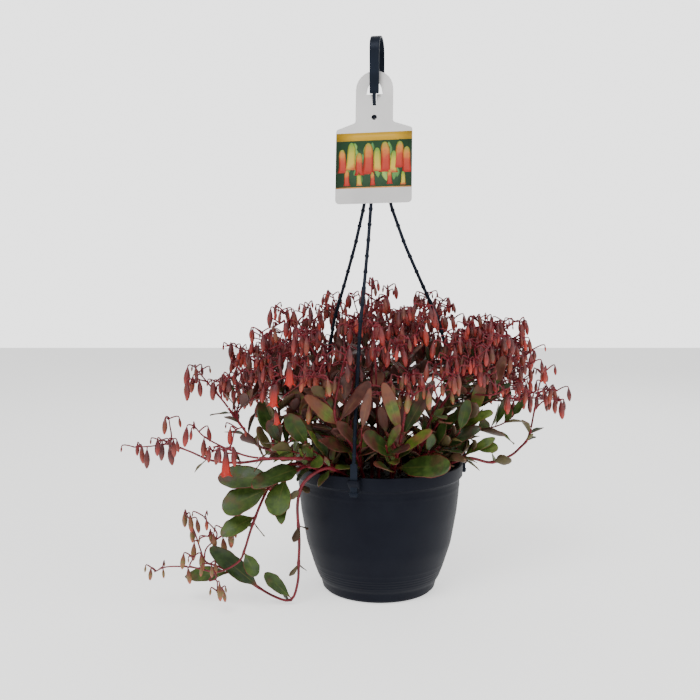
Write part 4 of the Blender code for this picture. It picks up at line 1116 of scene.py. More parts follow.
# %% Buds as the solids have them
def bud_line(root, side, rise, reach, length):
    """A thin stalk that leads sideways and up, then the bud that hangs from it."""
    bend = root + side * reach + UP * rise
    hang = unit(-UP + 0.12 * side)
    return np.array([root, bend, bend + hang * 0.55 * length, bend + hang * length])


def bud_radii(length, is_bell):
    """Radii at a bud's points. A bud is a spindle three times as long as wide, and a bell flares."""
    bend, tip = (1.6, 0.2) if is_bell else (1.4, 0.04)
    return [STALK_RADIUS, bend * STALK_RADIUS, 0.15 * length, tip * length]


def bud_spots(line, radii):
    """Round spots along a bud and its stalk, past the stalk's root."""
    spots = evenly(line[1:], 0, 1, BUD_SPOTS)
    run = np.concatenate([[0], np.cumsum(np.linalg.norm(np.diff(line[1:], axis=0), axis=1))])
    return spots, np.interp(np.linspace(0, 1, BUD_SPOTS) * run[-1], run, radii[1:])


def clear_bud(name, line, share, turn, reach, rise, length, is_bell=False, pitch=GOLDEN_TURN, shrink=1, slack=1):
    """A bud on a line, turned and shortened until it is clear, or None. A slack below one shrinks its spots."""
    point, _ = at_share(line, share)
    for attempt in range(TRIES):
        angle, size = turn + pitch * attempt, length * shrink**attempt
        side = np.array([math.cos(angle), math.sin(angle), 0.0])
        bud = {"line": bud_line(point, side, rise, reach, size), "radii": bud_radii(size, is_bell)}
        spots, sizes = bud_spots(bud["line"], bud["radii"])
        if space.is_clear(spots, sizes * slack, but=(name + " spray",)):
            space.add(spots, sizes * slack, name + " bud")
            return bud
    return None


def fork_line(main, share, turn, length):
    """A line that forks from the spray's main one, bends outwards and up, and arches over at its tip."""
    point, tangent = at_share(main, share)
    level, across = leaf_frame(tangent)
    side = math.cos(turn) * level + math.sin(turn) * across
    knee = point + (0.6 * tangent + 0.6 * side) * 0.45 * length
    shoulder = point + (0.75 * side + 0.45 * UP) * 0.85 * length
    end = point + (1.02 * side + 0.36 * UP) * length
    return smooth_route(np.array([point, knee, shoulder, end]), FORK_POINTS)


def clear_fork(name, line, share, turn, length, shrink, but):
    """A fork, turned about its line and shortened until it is clear, or None."""
    for attempt in range(TRIES):
        fork = fork_line(line, share, turn + 0.9 * attempt, length * shrink**attempt)
        if space.is_clear(fork[3:], FORK_RADII[0], but=but):
            space.add(fork, FORK_RADII[0], name + " spray")
            return fork
    return None


def grow_spray(name, plan, main, rng):
    """The spray's fork, then buds on both lines, from the tips inwards."""
    length, turn = rng.uniform(*FORK_LENGTHS), rng.uniform(0, 2 * math.pi)
    fork = clear_fork(name, main, 0.3, turn, length, 0.95, (name + " spray",))
    spray = {"main": main, "forks": [] if fork is None else [fork], "buds": []}
    lines = [main, *spray["forks"]]
    for i in range(plan["buds"]):
        share = 0.985 - (i // len(lines)) * 0.62 * len(lines) / plan["buds"]
        turn, reach, rise = rng.uniform(0, 2 * math.pi), rng.uniform(5, 9) * MM, rng.uniform(1, 4) * MM
        is_bell = i in plan["bells"]
        length = BELL_LENGTH if is_bell else rng.uniform(*BUD_LENGTHS)
        bud = clear_bud(name, lines[i % len(lines)], share, turn, reach, rise, length, is_bell)
        if bud:
            spray["buds"].append(bud)
    return spray


# %% Grow what the solids hold
plant = {}
for name, plan in SHOOTS.items():
    stem, spray = share_out(full_route(plan), plan["split"])
    plant[name] = {"plan": plan, "stem": stem, "leaves": [], "spray": None, "spray_line": spray}
    space.add(stem, taper(stem, STEM_RADIUS), name + " stem")
    if spray is not None:
        space.add(spray, taper(spray, SPRAY_RADIUS), name + " spray")
for index, (name, grown) in enumerate(plant.items()):
    rng = np.random.default_rng(SEED + index)
    grown["leaves"] = grow_leaves(name, grown["plan"], grown["stem"], rng)
for index, (name, grown) in enumerate(plant.items()):
    if grown["spray_line"] is not None:
        rng = np.random.default_rng(SEED + 100 + index)
        grown["spray"] = grow_spray(name, grown["plan"], grown["spray_line"], rng)
print("leaves:", sum(len(grown["leaves"]) for grown in plant.values()))
print("buds:", sum(len(grown["spray"]["buds"]) for grown in plant.values() if grown["spray"]))

# %% [markdown]
# Some twigs with their leaves, and some tips of sprays, can be told apart in the photograph. They are listed here in
# millimetres, and they are placed before all the others.

# %% Branches and tips that show
# Each branch: host, share of its stem, end, then each leaf's share of the branch, its tip and its width
SEEN_BRANCHES = (
    ("front_left", 0.42, (-65, -88, 228),
     ((1.0, (-62, -94, 268), 15), (0.6, (-70, -100, 226), 12), (0.5, (-47, -88, 243), 11))),
    ("front_left", 0.5, (-38, -76, 214), ((0.95, (-34, -78, 242), 13),)),
    ("front_left", 0.2, (-20, -92, 188), ((0.95, (-13, -98, 230), 10), (0.6, (-44, -96, 196), 14))),
    ("left_low", 0.24, (-76, -82, 174),
     ((0.9, (-94, -86, 202), 20), (0.5, (-72, -99, 189), 14), (0.6, (-86, -100, 190), 16))),
    ("left_low", 0.42, (-102, -84, 174), ((0.95, (-112, -88, 196), 12), (0.7, (-98, -94, 188), 14))),
    ("front_right", 0.2, (4, -92, 172), ((0.9, (16, -103, 194), 10), (0.6, (-22, -102, 190), 18))),
    ("right_front", 0.25, (96, -46, 196),
     ((1.0, (104, -50, 232), 14), (0.6, (114, -54, 200), 14), (0.5, (84, -62, 206), 13))),
    ("right_front", 0.4, (118, -40, 222), ((1.0, (126, -44, 256), 12), (0.6, (134, -46, 228), 12))),
    ("front_low_right", 0.2, (80, -62, 180),
     ((1.0, (88, -66, 214), 13), (0.6, (100, -64, 186), 16), (0.5, (64, -78, 192), 13))),
    ("front_low_right", 0.35, (60, -74, 196), ((1.0, (62, -80, 230), 12), (0.5, (76, -84, 208), 12))),
    ("right_high", 0.3, (113, -26, 221),
     ((0.6, (108, -34, 217), 12), (0.5, (119, -34, 213), 9), (0.3, (97, -38, 203), 9))),
    ("right_front", 0.3, (141, -26, 192),
     ((0.8, (134, -32, 218), 9), (1.0, (150, -30, 208), 9), (0.9, (136, -36, 200), 8))),
    ("right_front", 0.18, (90, -38, 190), ((0.95, (90, -42, 215), 13), (0.7, (98, -44, 189), 10))),
    ("front_low_right", 0.12, (98, -44, 160), ((1.0, (122, -46, 162), 14), (0.8, (118, -44, 172), 10))),
)
# Tips of sprays
SEEN_TIPS = (
    (-122, -30, 281), (-82, -60, 253), (-97, -60, 273), (-136, -20, 236), (-112, -50, 250), (124, -30, 268),
    (163, 10, 258), (141, -20, 240), (89, -60, 264), (67, -80, 246), (150, -10, 222), (108, -50, 238),
)
print("branches that show:", len(SEEN_BRANCHES), "and tips:", len(SEEN_TIPS))

# %% [markdown]
# The real plant has far more twigs, leaves and buds than its solids. First come side branches. Points are spread
# over the dome that the plant fills, and wherever no spray ends near one, the nearest stem sends a branch there,
# along a curve that starts along the stem and ends upwards. A second, lower dome gets short leafy branches, which
# close the middle of the plant over the soil.

# %% Side branches
BRANCH_RADII = (1.1 * MM, 0.75 * MM)
BRANCH_POINTS = 40
BRANCH_SPRAY_FROM = 0.6
# The points of a stem that may send a branch, how far below its target a branch has to leave, what is added to the
# distance of a point above that, how many hosts are tried, and the spread of the ends in millimetres
BRANCH_ROOTS = slice(12, 56, 4)
BRANCH_DROP = 22 * MM
TOO_HIGH = 200 * MM
BRANCH_TRIES = 5
BRANCH_STRAY = 5
FREE_HANGING = ("left_long", "left_low", "left_cluster", "trailing_long", "trailing_short", "right_arch")
SPRAY_DOME = {"middle": (16, 26, 150), "reach": (172, 128, 162), "lowest": 0.34, "highest": 0.97, "count": 90}
SPRAY_APART = 33 * MM
DOME_POWER = 0.9
# The skyline of the buds from in front, x and height, and how far a spray rises above the end of its branch
SKYLINE_X = np.array((-170, -122, -86, 63, 83, 104, 156, 182)) * MM
SKYLINE_HEIGHT = np.array((266, 296, 312, 314, 300, 288, 287, 261)) * MM
SPRAY_RISE = 17 * MM
LEAF_VASE = {"count": 160, "narrow": (84, 74), "wide": (140, 106), "low": 152, "high": 252}
SEEN_APART = 20 * MM
BRANCH_SEED = 300


def dome_points(middle, reach, lowest, highest, count):
    """Points spread over a flat-topped dome by the golden angle, from a lowest to a highest sine of the slope angle.

    The cosine and sine of the slope angle are raised to a power, which squares the dome's shoulders a little, and
    the skyline caps it.
    """
    slope = np.arcsin(np.linspace(lowest, highest, count))
    turn = GOLDEN_TURN * np.arange(count)
    level, height = np.cos(slope) ** DOME_POWER, np.sin(slope) ** DOME_POWER
    shape = np.stack([level * np.cos(turn), level * np.sin(turn), height], axis=-1)
    points = (np.array(middle) + shape * reach) * MM
    points[:, 2] = np.minimum(points[:, 2], np.interp(points[:, 0], SKYLINE_X, SKYLINE_HEIGHT) - SPRAY_RISE)
    return points


def vase_points(count, narrow, wide, low, high):
    """Points in the outer part of an oval vase that widens upwards. Heights, depths and turns never line up."""
    order = np.arange(count)
    up, depth = order * 0.618 % 1, np.sqrt(0.3 + 0.7 * (order * 0.755 % 1))
    reach = np.outer(1 - up, narrow) + np.outer(up, wide)
    turn = GOLDEN_TURN * order
    x, y = depth * reach[:, 0] * np.cos(turn) + 4, depth * reach[:, 1] * np.sin(turn)
    return np.stack([x, y, low + (high - low) * up], axis=-1) * MM


def branch_curve(start, tangent, target):
    """A cubic curve that leaves along the stem and a little up, and arrives rising and outwards."""
    span = np.linalg.norm(target - start)
    out = unit((target - start) * (1, 1, 0) + 1e-9)
    second = start + 0.4 * span * unit(tangent + 0.4 * UP)
    third = target - 0.35 * span * unit(0.8 * UP + 0.6 * out)
    t = np.linspace(0, 1, BRANCH_POINTS)[:, None]
    curve = (1 - t) ** 3 * start + 3 * t * (1 - t) ** 2 * second + 3 * t**2 * (1 - t) * third + t**3 * target
    return evenly(curve, 0, 1, BRANCH_POINTS)


def add_branches(targets, apart, leafy_only, rng):
    """Sends a branch to each target that no tip is near, from the nearest stem that has a clear way."""
    hosts = [name for name, grown in plant.items() if grown["spray"] and name not in FREE_HANGING]
    tips = [plant[name]["spray"]["main"][-1] for name in hosts]
    added = 0
    for target in targets:
        if apart and min(np.linalg.norm(target - tip) for tip in tips) < apart:
            continue
        choices = []
        for name in hosts:
            spots = plant[name]["stem"][BRANCH_ROOTS]
            away = np.linalg.norm(spots - target, axis=1) + TOO_HIGH * (spots[:, 2] > target[2] - BRANCH_DROP)
            choices.append((away.min(), name, BRANCH_ROOTS.start + BRANCH_ROOTS.step * int(away.argmin())))
        for _, name, at in sorted(choices)[:BRANCH_TRIES]:
            stem = plant[name]["stem"]
            end = target + rng.normal(size=3) * BRANCH_STRAY * MM
            curve = branch_curve(stem[at], unit(stem[at + 1] - stem[at - 1]), end)
            own = (name + " stem", name + " spray")
            if space.is_clear(curve[4:], BRANCH_RADII[0], but=own):
                space.add(curve, BRANCH_RADII[0], name + " stem")
                plant[name]["branches"].append({"line": curve, "leafy_only": leafy_only, "seen": ()})
                tips.append(end)
                added += 1
                break
    return added


for grown in plant.values():
    grown["branches"] = []
for name, share, end, leaves in SEEN_BRANCHES:
    point, tangent = at_share(plant[name]["stem"], share)
    curve = branch_curve(point, tangent, np.array(end) * MM)
    space.add(curve, BRANCH_RADII[0], name + " stem")
    plant[name]["branches"].append({"line": curve, "leafy_only": True, "seen": leaves})
branch_rng = np.random.default_rng(BRANCH_SEED)
print("branches to the tips seen:", add_branches(np.array(SEEN_TIPS) * MM, SEEN_APART, False, branch_rng))
print("flowering branches:", add_branches(dome_points(**SPRAY_DOME), SPRAY_APART, False, branch_rng))
print("leafy branches:", add_branches(vase_points(**LEAF_VASE), 0, True, branch_rng))

# %% [markdown]
# More pairs of leaves go between the solids' own, large and broad low down, small and narrow near the spray. A
# second book holds the leaves alone, so that leaves of one stem keep off each other too. Shoots that hang free of
# the mass are barer, as in the photograph.

# %% More leaves
MORE_SEED = 500
PAIR_PITCH = 16 * MM
BARE_PITCH = 42 * MM
LOWEST_TIP = 139 * MM
SLANTING, UPRIGHT = (0.4, 1.3), (0.8, 1.9)
SMALL_SAMPLE = 1.0 * MM
MORE_TRIES = {"lift": 0.15, "pitch": 0.3, "shrink": 0.94}

leaf_book = Space()
for grown in plant.values():
    for leaf in grown["leaves"]:
        leaf["solid"] = True
        leaf_book.add(leaf_spots(leaf), LEAF_SAMPLE, "leaf")


def try_leaf(name, line, share, facing, turn, length, width_share, rises, rng):
    """A further leaf, turned about its stem and shortened until it is clear, or None."""
    lowest, rise = 0 if name in FREE_HANGING else LOWEST_TIP, rng.uniform(*rises)
    for leaf in leaf_tries(line, share, facing, turn, rise, length, width_share, rng, **MORE_TRIES):
        spots = leaf_spots(leaf)
        outer = spots[len(spots) // 3 :]
        if spots[:, 2].min() < lowest:
            continue
        if space.is_clear(spots, SMALL_SAMPLE, but=(name + " stem",)) and leaf_book.is_clear(outer, SMALL_SAMPLE):
            leaf_book.add(outer, SMALL_SAMPLE, "leaf")
            space.add(spots, SMALL_SAMPLE, name + " stem")
            return leaf
    return None


def add_seen_leaf(name, line, share, tip, width, rng):
    """A leaf that shows in the photograph, from its branch to its tip. It moves forward until it is clear."""
    for step in range(TRIES):
        leaf = placed_leaf(line, share, (np.array(tip) + (0, -1.5 * step, 0)) * MM, width * MM, rng)
        spots = leaf_spots(leaf)
        if space.is_clear(spots, SMALL_SAMPLE, but=(name + " stem",)) and leaf_book.is_clear(spots, SMALL_SAMPLE):
            leaf_book.add(spots[len(spots) // 3 :], SMALL_SAMPLE, "leaf")
            space.add(spots, SMALL_SAMPLE, name + " stem")
            plant[name]["leaves"].append({**leaf, "height": share, "solid": True})
            return True
    return False


def add_pairs(name, line, pitch, lengths, widths, rises, rng):
    """Pairs of leaves along a line, each square to the one before. Sizes run from the foot's to the tip's."""
    span = np.linalg.norm(np.diff(line, axis=0), axis=1).sum()
    for pair, share in enumerate(np.arange(16 * MM / span, 0.97, pitch / span)):
        for facing in (1, -1):
            length = np.interp(share, (0, 1), lengths) * rng.uniform(0.8, 1.15)
            turn = math.pi / 2 * pair + rng.uniform(-0.4, 0.4)
            leaf = try_leaf(name, line, share, facing, turn, length, np.interp(share, (0, 1), widths), rises, rng)
            if leaf:
                plant[name]["leaves"].append({**leaf, "height": share})


seen_rng, seen = np.random.default_rng(MORE_SEED - 1), []
for name, grown in plant.items():
    for branch in grown["branches"]:
        seen += [add_seen_leaf(name, branch["line"], *leaf, seen_rng) for leaf in branch["seen"]]
print("leaves placed from the photograph:", sum(seen), "of", len(seen))
for index, (name, grown) in enumerate(plant.items()):
    rng = np.random.default_rng(MORE_SEED + index)
    if name in FREE_HANGING:
        add_pairs(name, grown["stem"], BARE_PITCH, (24 * MM, 15 * MM), (0.5, 0.36), SLANTING, rng)
    else:
        add_pairs(name, grown["stem"], PAIR_PITCH, (42 * MM, 20 * MM), (0.66, 0.36), SLANTING, rng)
    for branch in grown["branches"]:
        if branch["leafy_only"]:
            add_pairs(name, branch["line"], 15 * MM, (42 * MM, 30 * MM), (0.58, 0.4), UPRIGHT, rng)
        else:
            leafy = evenly(branch["line"], 0, BRANCH_SPRAY_FROM, 24)
            add_pairs(name, leafy, PAIR_PITCH, (32 * MM, 18 * MM), (0.46, 0.34), UPRIGHT, rng)
print("leaves in all:", sum(len(grown["leaves"]) for grown in plant.values()))

# %% [markdown]
# A spray forks again and again, and each tip ends in a hoop of buds like the ribs of an umbrella. So each spray gets
# further forks, and each of its lines gets buds round its end, in a spread of sizes. Small pointed leaves stand at
# the forks.

# %% More forks and buds
FULL_FORKS = ((0.2, 0.95), (0.62, 0.75))
SPARE_FORKS = ((0.55, 0.6),)
FULL_BUDS = 6
SPARE_BUDS = 3
SPARE_BELOW = (250 * MM, 292 * MM)
SPARE_MIDDLE, SPARE_SPAN = -24 * MM, (18 * MM, 58 * MM)
TINY_SHARE = 0.4
TINY_LENGTHS = (6 * MM, 11 * MM)
BRACT_LENGTHS = (9 * MM, 16 * MM)
BELL_STALK = 4 * MM


def add_forks(name, line, forks, rng):
    """Further forks of a line, and a pair of small leaves at each. It gives the line and its forks back."""
    spray, lines = plant[name]["spray"], [line]
    for share, size in forks:
        length, turn = size * rng.uniform(*FORK_LENGTHS), rng.uniform(0, 2 * math.pi)
        fork = clear_fork(name, line, share, turn, length, 0.93, (name + " spray", name + " stem"))
        if fork is not None:
            lines.append(fork)
            spray["forks"].append(fork)
        for facing in (1, -1):
            turn, length = rng.uniform(0, 3), rng.uniform(*BRACT_LENGTHS)
            leaf = try_leaf(name, line, share, facing, turn, length, 0.42, SLANTING, rng)
            if leaf:
                spray["bracts"].append(leaf)
    return lines


for index, (name, grown) in enumerate(plant.items()):
    if not grown["spray"]:
        continue
    spray, rng = grown["spray"], np.random.default_rng(MORE_SEED + 100 + index)
    spray["bracts"] = []
    free = name in FREE_HANGING
    main_lines = [spray["main"], *spray["forks"]]
    for branch in grown["branches"]:
        if not branch["leafy_only"]:
            main_lines.append(evenly(branch["line"], BRANCH_SPRAY_FROM, 1, 16))
    lines = []
    for main in main_lines:
        x, y, z = main[-1]
        spare_below = np.interp(abs(x - SPARE_MIDDLE), SPARE_SPAN, SPARE_BELOW[::-1])
        spare = free or (z < spare_below and y < -20 * MM)
        lines += [(line, spare) for line in add_forks(name, main, SPARE_FORKS if spare else FULL_FORKS, rng)]
    for line, spare in lines:
        start = rng.uniform(0, 2 * math.pi)
        for place in range(SPARE_BUDS if spare else FULL_BUDS):
            lengths = TINY_LENGTHS if rng.uniform() < TINY_SHARE else BUD_LENGTHS
            length, share = 0.85 * rng.uniform(*lengths), 0.995 - 0.05 * place
            reach, rise = rng.uniform(5, 14) * MM, rng.uniform(2, 7) * MM
            turn = start + GOLDEN_TURN * place
            bud = clear_bud(name, line, share, turn, reach, rise, length, pitch=0.7, shrink=0.93, slack=0.8)
            if bud:
                spray["buds"].append(bud)
# Open or opening flowers that show in the photograph: where each hangs from, and where its mouth is
SEEN_BELLS = (
    ((-103, -100, 237), (-106, -102, 211)),
    ((-90, -96, 257), (-90, -97, 231)),
    ((-104, -97, 211), (-102, -98, 193)),
)
for top, mouth in np.array(SEEN_BELLS) * MM:
    choices = []
    for name, grown in plant.items():
        if grown["spray"] and name not in FREE_HANGING:
            for line in (grown["spray"]["main"], *grown["spray"]["forks"]):
                away = np.linalg.norm(line - top - BELL_STALK * UP, axis=1)
                choices.append((away.min(), name, line[away.argmin()]))
    stalk, name, root = min(choices, key=lambda choice: choice[0])
    length = float(np.linalg.norm(mouth - top))
    bell = {"line": np.array([root, top, mouth]), "radii": bud_radii(length, True), "length": length}
    plant[name]["spray"]["buds"].append(bell)
    print("bell on", name, "with a stalk of", round(float(stalk), 3))
print("buds in all:", sum(len(grown["spray"]["buds"]) for grown in plant.values() if grown["spray"]))

# %% [markdown]
# Kalanchoe leaves are fleshy and waxy. Their surface gives a soft sheen, not a mirror. In strong light they turn from
# green to olive and brown, their margins turn red, and their undersides are purplish. All this is drawn from five
# numbers that come with each point: s and w on the leaf, the leaf's shade and its age, and which side the point is on.

# %% Leaf material
# What a smooth step takes: a value, where the step starts and ends, and the levels before and after it
STEP_INPUTS = ("Value", "From Min", "From Max", "To Min", "To Max")
# Size and detail of the mottling, of the clouds of older colour and of the pores
LEAF_NOISES = ((7 * MM, 4.0), (16 * MM, 2.0), (0.9 * MM, 2.0))
LEAF_GREENS = [(0, "1f3012"), (0.35, "2d4114"), (0.7, "3f5318"), (1, "566720")]
LEAF_BROWNS = [(0, "391c18"), (0.5, "512c21"), (1, "6d402c")]


def leaf_skin():
    """Fleshy leaf: mottled greens or browns by age, red margin, paler midrib, purplish underside, waxy sheen."""
    material, shader = new_material("Waxy kalanchoe leaf", "4a6428", 0.45, Specular_IOR_Level=0.35)
    node = partial(add_node, material)
    place = node("TexCoord", {})["Object"]
    vectors = [node("Attribute", {}, attribute_name=name)["Vector"] for name in ("spot", "kind")]
    spot, kind = (node("SeparateXYZ", {"Vector": vector}) for vector in vectors)
    mottle, cloud, pores = (
        node("TexNoise", {"Vector": place, "Scale": 1 / size, "Detail": detail})["Fac"] for size, detail in LEAF_NOISES
    )
    across = node("Math", {0: spot["Y"]}, operation="ABSOLUTE")["Value"]
    steps = {
        "mottled": (mottle, 0.3, 0.7, -0.2, 0.2),
        "clouded": (cloud, 0.3, 0.7, -0.3, 0.3),
        "older tip": (spot["X"], 0.15, 0.95, -0.25, 0.25),
        "near midrib": (across, 0.02, 0.1, 0.22, 0),
        "before tip": (spot["X"], 0.8, 0.2, 0, 1),
        "underside": (kind["X"], 0.35, 0.75, 0, 0.5),
        "side edge": (across, 0.9, 0.99, 0, 1),
        "tip edge": (spot["X"], 0.975, 1, 0, 1),
        "stalk": (spot["X"], 0.2, 0.04, 0, 1),
        "wax": (mottle, 0.3, 0.7, 0.38, 0.56),
    }
    step = {
        name: node("MapRange", dict(zip(STEP_INPUTS, values)), interpolation_type="SMOOTHSTEP")["Result"]
        for name, values in steps.items()
    }
    shade = node("Math", {0: spot["Z"], 1: step["mottled"]}, operation="ADD")["Value"]
    age, margin = kind["Y"], step["side edge"]
    for name in ("clouded", "older tip"):
        age = node("Math", {0: age, 1: step[name]}, operation="ADD")["Value"]
    for name in ("tip edge", "stalk"):
        margin = node("Math", {0: margin, 1: step[name]}, operation="MAXIMUM")["Value"]
    old = node("MapRange", dict(zip(STEP_INPUTS, (age, 0.2, 0.8, 0, 1))), interpolation_type="SMOOTHSTEP")["Result"]
    midrib = node("Math", {0: step["near midrib"], 1: step["before tip"]}, operation="MULTIPLY")["Value"]
    colour, brown = (node("ValToRGB", {"Fac": shade}, stops)["Color"] for stops in (LEAF_GREENS, LEAF_BROWNS))
    for share, over in ((old, brown), (midrib, "8a7f45"), (step["underside"], "5e3b38"), (margin, "6e2422")):
        colour = node("Mix", {"Factor": share, 6: colour, 7: over}, data_type="RGBA")[2]
    height = node("Math", {0: pores, 1: midrib}, operation="SUBTRACT")["Value"]
    relief = node("Bump", {"Height": height, "Strength": 0.3, "Distance": 0.3 * MM})["Normal"]
    fill_inputs(material, shader, {"Base Color": colour, "Roughness": step["wax"], "Normal": relief})
    return material


# %% [markdown]
# Stems and stalks are crimson and a little glossy, with streaks of darker and paler red. A bud is wrapped in its
# calyx, which is a dull brick brown over the upper half. The petals come out of it brighter, towards a coral tip. Low
# in the front the buds are unripe, and are peach and olive. Faint ridges run along each bud.

# %% Stem and bud materials
STEM_STREAK = 9 * MM
STEM_REDS = [(0.25, "45171a"), (0.5, "6a1924"), (0.8, "842732")]
BUD_MOTTLE = 4 * MM
BUD_RIDGES = 4
# Colours from the stalk to the tip: of the dullest buds, of most, of the brightest, and of the unripe
BUD_COLOURS = (
    [(0, "541d27"), (0.4, "4a1e20"), (0.75, "632724"), (1, "7a2f27")],
    [(0, "641c26"), (0.3, "692726"), (0.55, "7e2826"), (0.8, "932b25"), (1, "a53428")],
    [(0, "701d28"), (0.35, "922b26"), (0.8, "b73a2b"), (1, "c94430")],
    [(0, "6c2e2c"), (0.35, "75502f"), (0.6, "68602c"), (0.82, "955233"), (1, "ae4532")],
)


def stem_skin():
    """Crimson stem: streaks of darker and paler red, and a soft gloss."""
    material, shader = new_material("Crimson kalanchoe stem", "6a1924", 0.45, Specular_IOR_Level=0.3)
    node = partial(add_node, material)
    place = node("TexCoord", {})["Object"]
    streak = node("TexNoise", {"Vector": place, "Scale": 1 / STEM_STREAK, "Detail": 3.0})["Fac"]
    colour = node("ValToRGB", {"Fac": streak}, STEM_REDS)["Color"]
    gloss = dict(zip(STEP_INPUTS, (streak, 0.3, 0.7, 0.34, 0.5)))
    gloss = node("MapRange", gloss, interpolation_type="SMOOTHSTEP")["Result"]
    fill_inputs(material, shader, {"Base Color": colour, "Roughness": gloss})
    return material


def bud_skin():
    """Calyx and petals: dull brick at the stalk, brighter to the tip, or peach where the kind says unripe."""
    material, shader = new_material("Kalanchoe calyx and petals", "8c2f2b", 0.48)
    node = partial(add_node, material)
    place = node("TexCoord", {})["Object"]
    vectors = [node("Attribute", {}, attribute_name=name)["Vector"] for name in ("spot", "kind")]
    spot, kind = (node("SeparateXYZ", {"Vector": vector}) for vector in vectors)
    mottle = node("TexNoise", {"Vector": place, "Scale": 1 / BUD_MOTTLE, "Detail": 3.0})["Fac"]
    steps = ((mottle, 0.3, 0.7, -0.15, 0.15), (spot["Z"], 0.1, 0.5, 0, 1), (spot["Z"], 0.86, 0.94, 0, 1))
    shift, usual, bright = (
        node("MapRange", dict(zip(STEP_INPUTS, values)), interpolation_type="SMOOTHSTEP")["Result"] for values in steps
    )
    along = node("Math", {0: spot["X"], 1: shift}, operation="ADD")["Value"]
    colour, brick, coral, peach = (node("ValToRGB", {"Fac": along}, stops)["Color"] for stops in BUD_COLOURS)
    for share, over in ((usual, brick), (bright, coral), (kind["Y"], peach), (kind["Z"], "ad2010")):
        colour = node("Mix", {"Factor": share, 6: colour, 7: over}, data_type="RGBA")[2]
    turn = node("Math", {0: spot["Y"], 1: BUD_RIDGES * 2 * math.pi}, operation="MULTIPLY")["Value"]
    ridge = node("Math", {0: turn}, operation="SINE")["Value"]
    relief = node("Bump", {"Height": ridge, "Strength": 0.4, "Distance": 0.3 * MM})["Normal"]
    fill_inputs(material, shader, {"Base Color": colour, "Normal": relief})
    return material


leaf_material, stem_material, bud_material = leaf_skin(), stem_skin(), bud_skin()
print("plant materials:", leaf_material.name, "/", stem_material.name, "/", bud_material.name)

# %% [markdown]
# Now the surfaces. A leaf is a tube squashed flat along its midrib, so that it has two sides that meet in a thin
# margin. A stem is a tube that swells at each pair of leaves. Each stem and its leaves are one piece, as they grew.

# %% Leaf and stem surfaces
LEAF_THICK = 1.0 * MM
# Rings along and points round a leaf: those that the solids hold are finer than the many others
FINE_LEAF, COARSE_LEAF = (18, 12), (12, 8)
SCALLOPS = 4
SCALLOP_DEPTH = 0.045
FOOT_SHARE = 0.38
WIDEST_POWERS = (1.05, 1.8)
STEM_AROUND = 9
THIN_AROUND = 7
# Leaves are green low down, and brown from this height on, over this span
OLD_FROM = 162 * MM
OLD_SPAN = 80 * MM
# Leaves on the plant's right are greener, by this much at this distance, and those in the front middle browner
GREENER = 0.4
GREENER_FROM = 80 * MM
BROWNER = 0.4
BROWNER_AT = -12 * MM
BROWNER_SPAN = 42 * MM


def blunt_half(s, power):
    """Half the width of a dressed leaf, as a share of its widest: an ellipse over s to a power, with a narrow foot.

    A power over one moves the widest place towards the tip.
    """
    foot = np.clip(s / FOOT_SHARE, 0, 1)
    oval = np.sqrt(1 - (2 * np.minimum(s, 0.999) ** power - 1) ** 2)
    return np.maximum(oval * (0.1 + 0.9 * foot**2 * (3 - 2 * foot)), 0.07)


def leaf_rings(leaf, count, around, rng):
    """Rings round the midrib: w is the cosine of the turn, and the sine lifts the two sides apart.

    The margin has shallow scallops on its outer half, and ripples up and down. The last rings close in a round tip.
    """
    s = 1 - (1 - np.linspace(0, 1, count)) ** 1.6
    turns = np.linspace(0, 2 * math.pi, around, endpoint=False)
    s, turns = s[:, None], turns[None, :]
    w = np.cos(turns)
    scallop = 1 + SCALLOP_DEPTH * np.clip(4 * s - 1.6, 0, 1) * np.cos(2 * math.pi * SCALLOPS * s) * w**4
    close = np.sqrt(1 - np.minimum(s, 0.995) ** 4)
    shape = blunt_half(s, rng.uniform(*WIDEST_POWERS)) / blade_half(s) / close
    blunt = {**leaf, "width": leaf["width"] * shape}
    phase, ripple = rng.uniform(0, 2 * math.pi), rng.uniform(0.01, 0.035) * leaf["length"]
    thick = LEAF_THICK / 2 * (0.45 + 0.55 * close) * np.abs(np.sin(turns)) ** 0.7 * np.sign(np.sin(turns))
    wave = ripple * w * np.abs(w) * np.sin(2 * math.pi * 1.4 * s + phase) * np.clip(3 * s, 0, 1)
    points = blade_points(blunt, s, w * scallop * close) + (thick + wave)[..., None] * leaf["normal"]
    return points[None], s, w


def add_leaf(piece, leaf, slot, age, rng):
    """Adds a leaf with its numbers for the material: s, w and shade, then underside and age."""
    count, around = FINE_LEAF if leaf.get("solid") else COARSE_LEAF
    rings, s, w = leaf_rings(leaf, count, around, rng)
    under = (1 - np.sin(np.linspace(0, 2 * math.pi, around, endpoint=False))) / 2
    # Both draws are taken, and the second isn't used, so that the next leaf gets its own
    shade, _ = rng.uniform(0, 1, 2)
    s, w, under, shade, age = np.broadcast_arrays(s, w, under, shade, age)
    piece.add(rings, slot, np.stack([s, w, shade], axis=-1)[None], np.stack([under, age, 0 * age], axis=-1)[None])


def stem_rings(line, radii, nodes, around):
    """A tube whose radius tapers, and swells by a bell curve at each leaf pair's share."""
    run = np.linspace(0, 1, len(line))
    span = np.linalg.norm(np.diff(line, axis=0), axis=1).sum()
    from_node = np.abs(run[:, None] - np.array([*nodes, 9.0])).min(axis=1) * span
    radius = np.linspace(radii[0], radii[1], len(line)) * (1 + 0.3 * np.exp(-((from_node / (2.4 * MM)) ** 2)))
    return tube_rings(line[None], radius[None], around)


def root_share(line, leaf):
    """Where a leaf leaves its stem, as a share of the stem's length."""
    return float(np.linalg.norm(line - leaf["root"], axis=1).argmin()) / (len(line) - 1)


